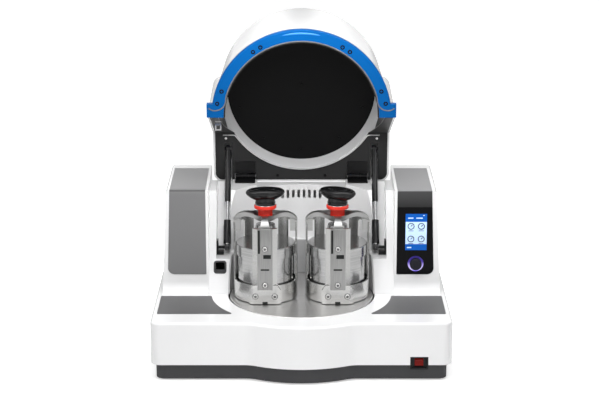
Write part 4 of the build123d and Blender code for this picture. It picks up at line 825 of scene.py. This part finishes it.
# ---------------------------------------------------------------- milling stations
# Each jar stands in a turned and milled stainless holder, under a four-armed clamp with a red
# collar. A brushed strip, screws in round seats, a latch bar and a bare identification bar are
# let into the holder's front plate.
holder_steel = brushed("holder_steel", (0.66, 0.66, 0.65), 0.26, (30, 30, 1100), dark=0.85, bump=0.02)
spider_steel = brushed("spider_steel", (0.52, 0.52, 0.515), 0.36, (30, 30, 900), dark=0.85, bump=0.02)
jar_steel = brushed("jar_steel", (0.60, 0.60, 0.60), 0.16, (3, 3, 500), dark=0.7, bump=0.02)
clamp_red = finish("clamp_red", (0.72, 0.035, 0.020), 0.3, mottle=0.04, speck=900, bump=0.04, shine=0.3)
knob_black = finish("knob_black", (0.005, 0.005, 0.0055), 0.2, mottle=0.1, speck=900, bump=0.03, shine=0.4)
PLATE_R = 0.084
# (across, out of the plate's face, height) of a holder's screws
HOLDER_SCREWS = ((0, -0.0034, 0.295), (0, -0.0007, 0.201), (-0.024, 0, 0.1717), (0.024, 0, 0.1717))
HOLDER_SCREW_R = 0.0062
HOLDER_SCREW_HIGH = 0.0034
SEAT_R = 0.0078
SEAT_HIGH = 0.0018
SEAT_SUNK = 0.0004
OUT_OF_FRONT = Matrix.Rotation(radians(90), 4, "X")
# (place on the plate's face, size, edge) of the strip, the latch bar, and four dark slabs: the
# identification bar, and painted shade in the foot notch, latch slot and groove
HOLDER_STRIP = ((0, 0.0004, 0.2665), (0.0375, 0.0022, 0.157), 0.0007)
HOLDER_LATCH = ((0.0030, -0.0016, 0.3135), (0.0265, 0.0036, 0.066), 0.0012)
HOLDER_MARKS_AND_SHADE = (
    ((0, -0.0008, 0.2408), (0.021, 0.0010, 0.0040), 0.0004),
    ((0, 0.0002, 0.1548), (0.013, 0.0012, 0.0055), 0.0004),
    ((0.0055, -0.0008, 0.2745), (0.019, 0.0012, 0.0100), 0.0005),
    ((-0.0145, -0.0008, 0.3125), (0.0052, 0.0010, 0.060), 0.0004),
)
mark_and_shade_black = finish("mark_and_shade_black", (0.012, 0.014, 0.013), 0.5, mottle=0.1, speck=800, bump=0.1, shine=0.2)
latch_steel = brushed("latch_steel", (0.42, 0.42, 0.415), 0.34, (700, 20, 20), dark=0.75)
seat_grey = finish("seat_grey", (0.18, 0.18, 0.18), 0.4, metallic=0.8, mottle=0.1, bump=0.03)


def turned(profile, steps=72):
    """A shape turned on a lathe about Z from a half profile of (radius, height)."""
    bpy.ops.object.select_all(action="DESELECT")
    outline = bpy.data.meshes.new("profile")
    outline.from_pydata([(r, 0, z) for r, z in profile], [(n, n + 1) for n in range(len(profile) - 1)], [])
    shape = bpy.data.objects.new("profile", outline)
    bpy.context.collection.objects.link(shape)
    shape.select_set(True)
    bpy.context.view_layer.objects.active = shape
    bpy.ops.object.mode_set(mode="EDIT")
    bpy.ops.mesh.select_all(action="SELECT")
    bpy.ops.mesh.spin(steps=steps, angle=radians(360), center=(0, 0, 0), axis=(0, 0, 1))
    bpy.ops.mesh.select_all(action="SELECT")
    bpy.ops.mesh.remove_doubles(threshold=0.00002)
    bpy.ops.mesh.normals_make_consistent(inside=False)
    bpy.ops.object.mode_set(mode="OBJECT")
    return shape


def screw_seat(radius, height):
    """A shallow round seat with a sloping rim, standing on the origin."""
    rim = ((radius, 0.0), (radius, height * 0.5), (radius * 0.9, height))
    return turned(((0.0, 0.0), *rim, (0.0, height)), 32)


def on_plate(face, spot, size, edge):
    """A bevelled block let into a holder's front plate."""
    return slab(face + Vector(spot), size, edge)


for hand in ("left", "right"):
    dress(holder_steel, f"jar_holder_{hand}")
    dress(spider_steel, f"clamp_spider_{hand}")
    dress(jar_steel, f"jar_{hand}", f"jar_lid_{hand}", f"planet_drive_{hand}")
    dress(clamp_red, f"clamp_collar_{hand}")
    station = Vector(JOINTS[f"jar_spin_{hand}"]["pos_m"])
    face = Vector((station.x, station.y - PLATE_R, 0))
    body = f"station_{hand}"
    places = [Matrix.Translation(face + Vector(spot)) @ OUT_OF_FRONT for spot in HOLDER_SCREWS]
    screws = placed_copies(socket_screw(HOLDER_SCREW_R, HOLDER_SCREW_HIGH), places)
    put(screws, f"holder_screws_{hand}", screw_bright, body)
    seats = [place @ Matrix.Translation((0, 0, -SEAT_SUNK)) for place in places]
    put(placed_copies(screw_seat(SEAT_R, SEAT_HIGH), seats), f"holder_screw_seats_{hand}", seat_grey, body)
    put(on_plate(face, *HOLDER_STRIP), f"holder_face_{hand}", latch_steel, body)
    # Dark slabs: the identification bar, and painted shade in the foot notch, latch slot and groove.
    marks_and_shade = [on_plate(face, *mark) for mark in HOLDER_MARKS_AND_SHADE]
    put(joined(marks_and_shade), f"holder_marks_and_shade_{hand}", mark_and_shade_black, body)
    put(on_plate(face, *HOLDER_LATCH), f"holder_latch_{hand}", latch_steel, body)

# ---------------------------------------------------------------- clamp knobs
# Each clamping screw ends in a black moulded knob: a round ribbed neck below, and above it a
# long dished oval wing for the palm. A bright washer lies between the neck and the collar.
WING_TURN = {"left": 8, "right": -28}
WING_HALF = 0.0495
WING_NARROW = 0.56
# (radius as a share of the wing's half length, height) from under the wing to its dished top
WING_PROFILE = (
    (0.00, 0.3975),
    (0.44, 0.3975),
    (0.60, 0.3995),
    (0.80, 0.4055),
    (0.95, 0.4118),
    (1.00, 0.4165),
    (0.975, 0.4200),
    (0.91, 0.4232),
    (0.80, 0.4256),
    (0.66, 0.4268),
    (0.50, 0.4262),
    (0.34, 0.4246),
    (0.18, 0.4236),
    (0.00, 0.4233),
)
# (radius, height) up the outside of the ribbed neck
NECK_PROFILE = (
    (0.0000, 0.3866),
    (0.0235, 0.3866),
    (0.0252, 0.3880),
    (0.0254, 0.3925),
    (0.0240, 0.3936),
    (0.0236, 0.3952),
    (0.0244, 0.3966),
    (0.0230, 0.4000),
    (0.0215, 0.4040),
    (0.0000, 0.4040),
)
WING_PROFILE_M = [(share * WING_HALF, height) for share, height in WING_PROFILE]
# (radius, height) round a flat washer's section
WASHER_PROFILE = ((0.009, 0.3852), (0.0246, 0.3852), (0.0250, 0.3858), (0.0246, 0.3866), (0.009, 0.3866))

for hand in ("left", "right"):
    station = Vector(JOINTS[f"jar_spin_{hand}"]["pos_m"])
    axis = Matrix.Translation((station.x, station.y, 0))
    wing = turned(WING_PROFILE_M)
    oval = Matrix.Diagonal((1, WING_NARROW, 1, 1))
    wing.matrix_world = axis @ Matrix.Rotation(radians(WING_TURN[hand]), 4, "Z") @ oval
    soft = wing.modifiers.new("soft", "SUBSURF")
    soft.levels = 1
    soft.render_levels = 1
    bpy.context.view_layer.objects.active = wing
    bpy.ops.object.modifier_apply(modifier=soft.name)
    settle(wing)
    neck = turned(NECK_PROFILE)
    neck.matrix_world = axis
    settle(neck)
    knob = put(joined([wing, neck]), f"palm_knob_{hand}", knob_black, f"clamp_knob_{hand}")
    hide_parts(f"clamp_knob_{hand}")
    washer = turned(WASHER_PROFILE)
    washer.matrix_world = axis
    put(settle(washer), f"knob_washer_{hand}", screw_bright, f"clamp_knob_{hand}")

# ---------------------------------------------------------------- drive under the deck
# The drive stands on the base frame under the deck. Frame and motor are painted, castings left
# as machined, belts are rubber, and bearings, shafts and rotor are bright steel.
frame_paint = finish("frame_paint", (0.08, 0.085, 0.09), 0.5, mottle=0.06, speck=1100, bump=0.1)
casting = finish("casting", (0.20, 0.20, 0.205), 0.5, metallic=0.6, mottle=0.1, speck=500, bump=0.2)
motor_paint = finish("motor_paint", (0.05, 0.06, 0.075), 0.4, mottle=0.06, speck=700, bump=0.1)
belt_rubber = finish("belt_rubber", (0.018, 0.018, 0.018), 0.7, mottle=0.15, speck=900, bump=0.2)
board_green = finish("board_green", (0.01, 0.09, 0.03), 0.4, mottle=0.15, speck=400, bump=0.15)
dress(frame_paint, "base_frame", "deck_plate")
dress(casting, "bearing_housing", "drive_pulley", "inverter")
dress(motor_paint, "motor")
dress(belt_rubber, "drive_belt", "planet_belts")
dress(board_green, "control_board")
dress(rod_chrome, "main_bearings", "planet_bearings", "main_shaft", "motor_rotor")
